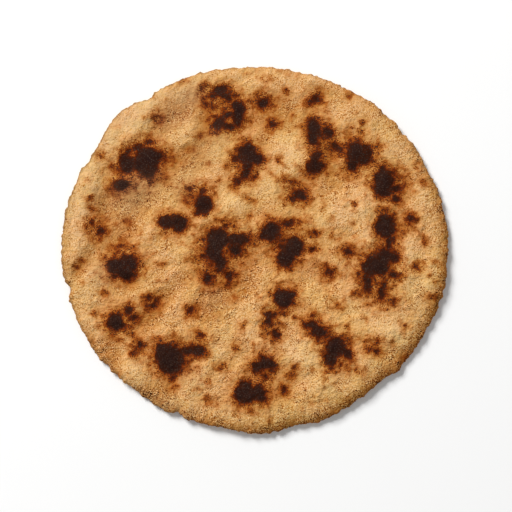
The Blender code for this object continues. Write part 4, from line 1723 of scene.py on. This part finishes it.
    def colour(self, nodes: Nodes, grains: Grains, level: Field, burn: Field, edge: Field) -> Field:
        """Colour of the crust before its ash.

        Args:
            nodes: the tree.
            grains: its noises.
            level: how brown it is.
            burn: how burnt it is.
            edge: how browned the blunt rim is, as painted shade and baked crust.

        Returns:
            The colour.
        """
        stops = [(place, linear(*colour)) for place, colour in self.browning]
        colour = nodes.add("ShaderNodeValToRGB", {"stops": stops}, {"Fac": level}, output="Color")
        hue = nodes.noise(self.hue_patches).between(*self.rosy_hues)
        warmth = nodes.attribute("warmth")
        greyness = (warmth * (level - 1.0) * self.ashen_share).clamped()
        thin_rim_shade = self.mottled(nodes.attribute("dull"), grains, *self.thin_rim_shade_mottles)
        colour = nodes.tint(colour, 1.0, nodes.mix(hue, self.rosy, self.olive))
        colour = nodes.tint(colour, burn.between(*self.toasted_burns), self.toasted)
        # Painted warm shade in the grain's low pits.
        colour = nodes.tint(colour, grains.stipple.between(*self.crevice_shade_stipples), self.crevice_shade)
        colour = nodes.mix(greyness, colour, linear(*self.ashen))
        colour = nodes.tint(colour, warmth.clamped(), self.ruddy)
        colour = nodes.tint(colour, nodes.attribute("sallow"), self.sallow)
        # Painted warm light reflected into the shade of the blunt rim.
        colour = nodes.tint(colour, edge, self.painted_warm_bounce)
        # Painted shade darkens the thin rim, where the key light falls strongest.
        return nodes.tint(colour, thin_rim_shade, self.thin_rim_shade)

    def bump(self, nodes: Nodes, grains: Grains, charred: Field, edge: Field) -> Field:
        """The finest relief, softer where the crust is charred and on the shaded, browned blunt rim.

        Args:
            nodes: the tree.
            grains: its noises.
            charred: how far it is char.
            edge: how browned the blunt rim is, as painted shade and baked crust.

        Returns:
            The normal.
        """
        relief = grains.grain * self.grain_relief + grains.mottle * self.mottle_relief
        relief = relief + grains.stipple * self.stipple_relief
        relief = relief * nodes.attribute("coarse") * (1.0 - charred * self.char_smoothing)
        relief = relief * (1.0 - edge * self.edge_smoothing)
        inputs = {"Strength": 1.0, "Distance": self.grain_depth * MM, "Height": relief}
        return nodes.add("ShaderNodeBump", None, inputs)


# ---------------------------------------------------------------------------------------------
# The studio
# ---------------------------------------------------------------------------------------------


@dataclass(frozen=True)
class Lamp:
    """A square area lamp, aimed at the origin. bearing and height are in degrees, lengths in m."""

    name: str
    bearing: float
    height: float
    distance: float
    size: float
    power: float

    def place(self) -> None:
        """Adds the lamp."""
        data = bpy.data.lights.new(self.name, "AREA")
        data.size = self.size
        data.energy = self.power
        lamp = bpy.data.objects.new(self.name, data)
        bearing, height = math.radians(self.bearing), math.radians(self.height)
        way = Vector(
            (
                math.cos(bearing) * math.cos(height),
                math.sin(bearing) * math.cos(height),
                math.sin(height),
            )
        )
        lamp.location = way * self.distance
        lamp.rotation_euler = way.to_track_quat("Z", "Y").to_euler()
        bpy.context.scene.collection.objects.link(lamp)


@dataclass
class Studio:
    """A pale floor, soft light from the upper left and a camera overhead.

    Lengths are in metres, the camera's height is in degrees above the floor, and the floor's colour
    varies between two.
    """

    floor_half: float = 3.0
    floor_colour: tuple = (0.90, 0.90, 0.895)
    floor_shade: tuple = (0.8865, 0.8865, 0.881575)
    floor_mottle: Noise = Noise(size=120.0)
    floor_roughness: float = 0.9
    sky: float = 0.30
    camera_height: float = 87.0
    camera_distance: float = 0.62
    lens: float = 84.8
    aim: tuple = (0.0004, -0.0038, 0.004)
    lamps: tuple = (
        Lamp("key_light", bearing=130, height=37, distance=3.0, size=1.1, power=118.0),
        Lamp("fill_light", bearing=-40, height=60, distance=3.0, size=2.0, power=7.0),
    )

    def build(self) -> None:
        """Makes the floor, the lamps, the sky and the camera."""
        self.lay_floor()
        for lamp in self.lamps:
            lamp.place()
        world = bpy.data.worlds.new("studio")
        world.use_nodes = True
        background = world.node_tree.nodes["Background"]
        background.inputs["Color"].default_value = (1.0, 1.0, 1.0, 1.0)
        background.inputs["Strength"].default_value = self.sky
        bpy.context.scene.world = world
        bpy.context.scene.view_settings.view_transform = "Standard"
        self.place_camera()

    def lay_floor(self) -> None:
        """A flat square whose finish varies very slightly, as painted board does."""
        half = self.floor_half
        mesh = bpy.data.meshes.new("floor")
        corners = [(-half, -half, 0), (half, -half, 0), (half, half, 0), (-half, half, 0)]
        mesh.from_pydata(corners, [], [(0, 1, 2, 3)])
        floor = bpy.data.objects.new("floor", mesh)
        bpy.context.scene.collection.objects.link(floor)
        material = bpy.data.materials.new("pale_board")
        nodes = Nodes(material)
        shade = nodes.mix(nodes.noise(self.floor_mottle), self.floor_colour, self.floor_shade)
        nodes.set(nodes.shader.inputs["Base Color"], shade)
        nodes.set(nodes.shader.inputs["Roughness"], self.floor_roughness)
        mesh.materials.append(material)

    def place_camera(self) -> None:
        """The camera looks down at the bread from almost straight above."""
        data = bpy.data.cameras.new("camera")
        data.lens = self.lens
        camera = bpy.data.objects.new("camera", data)
        height = math.radians(self.camera_height)
        way = Vector((0, -math.cos(height), math.sin(height)))
        camera.location = Vector(self.aim) + way * self.camera_distance
        camera.rotation_euler = way.to_track_quat("Z", "Y").to_euler()
        bpy.context.scene.collection.objects.link(camera)
        bpy.context.scene.camera = camera


def main() -> None:
    """Builds the bread and the studio."""
    logging.basicConfig(level=logging.INFO, format="%(name)s: %(message)s")
    bread = Bread()
    piece = bread.build()
    piece.data.materials.append(CrustFinish().material())
    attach(piece, "root")
    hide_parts(NODE)
    log.info("%s: %d faces", piece.name, len(piece.data.polygons))
    Studio().build()
    log.info("studio: floor, lamps and camera")


if __name__ == "__main__":
    main()
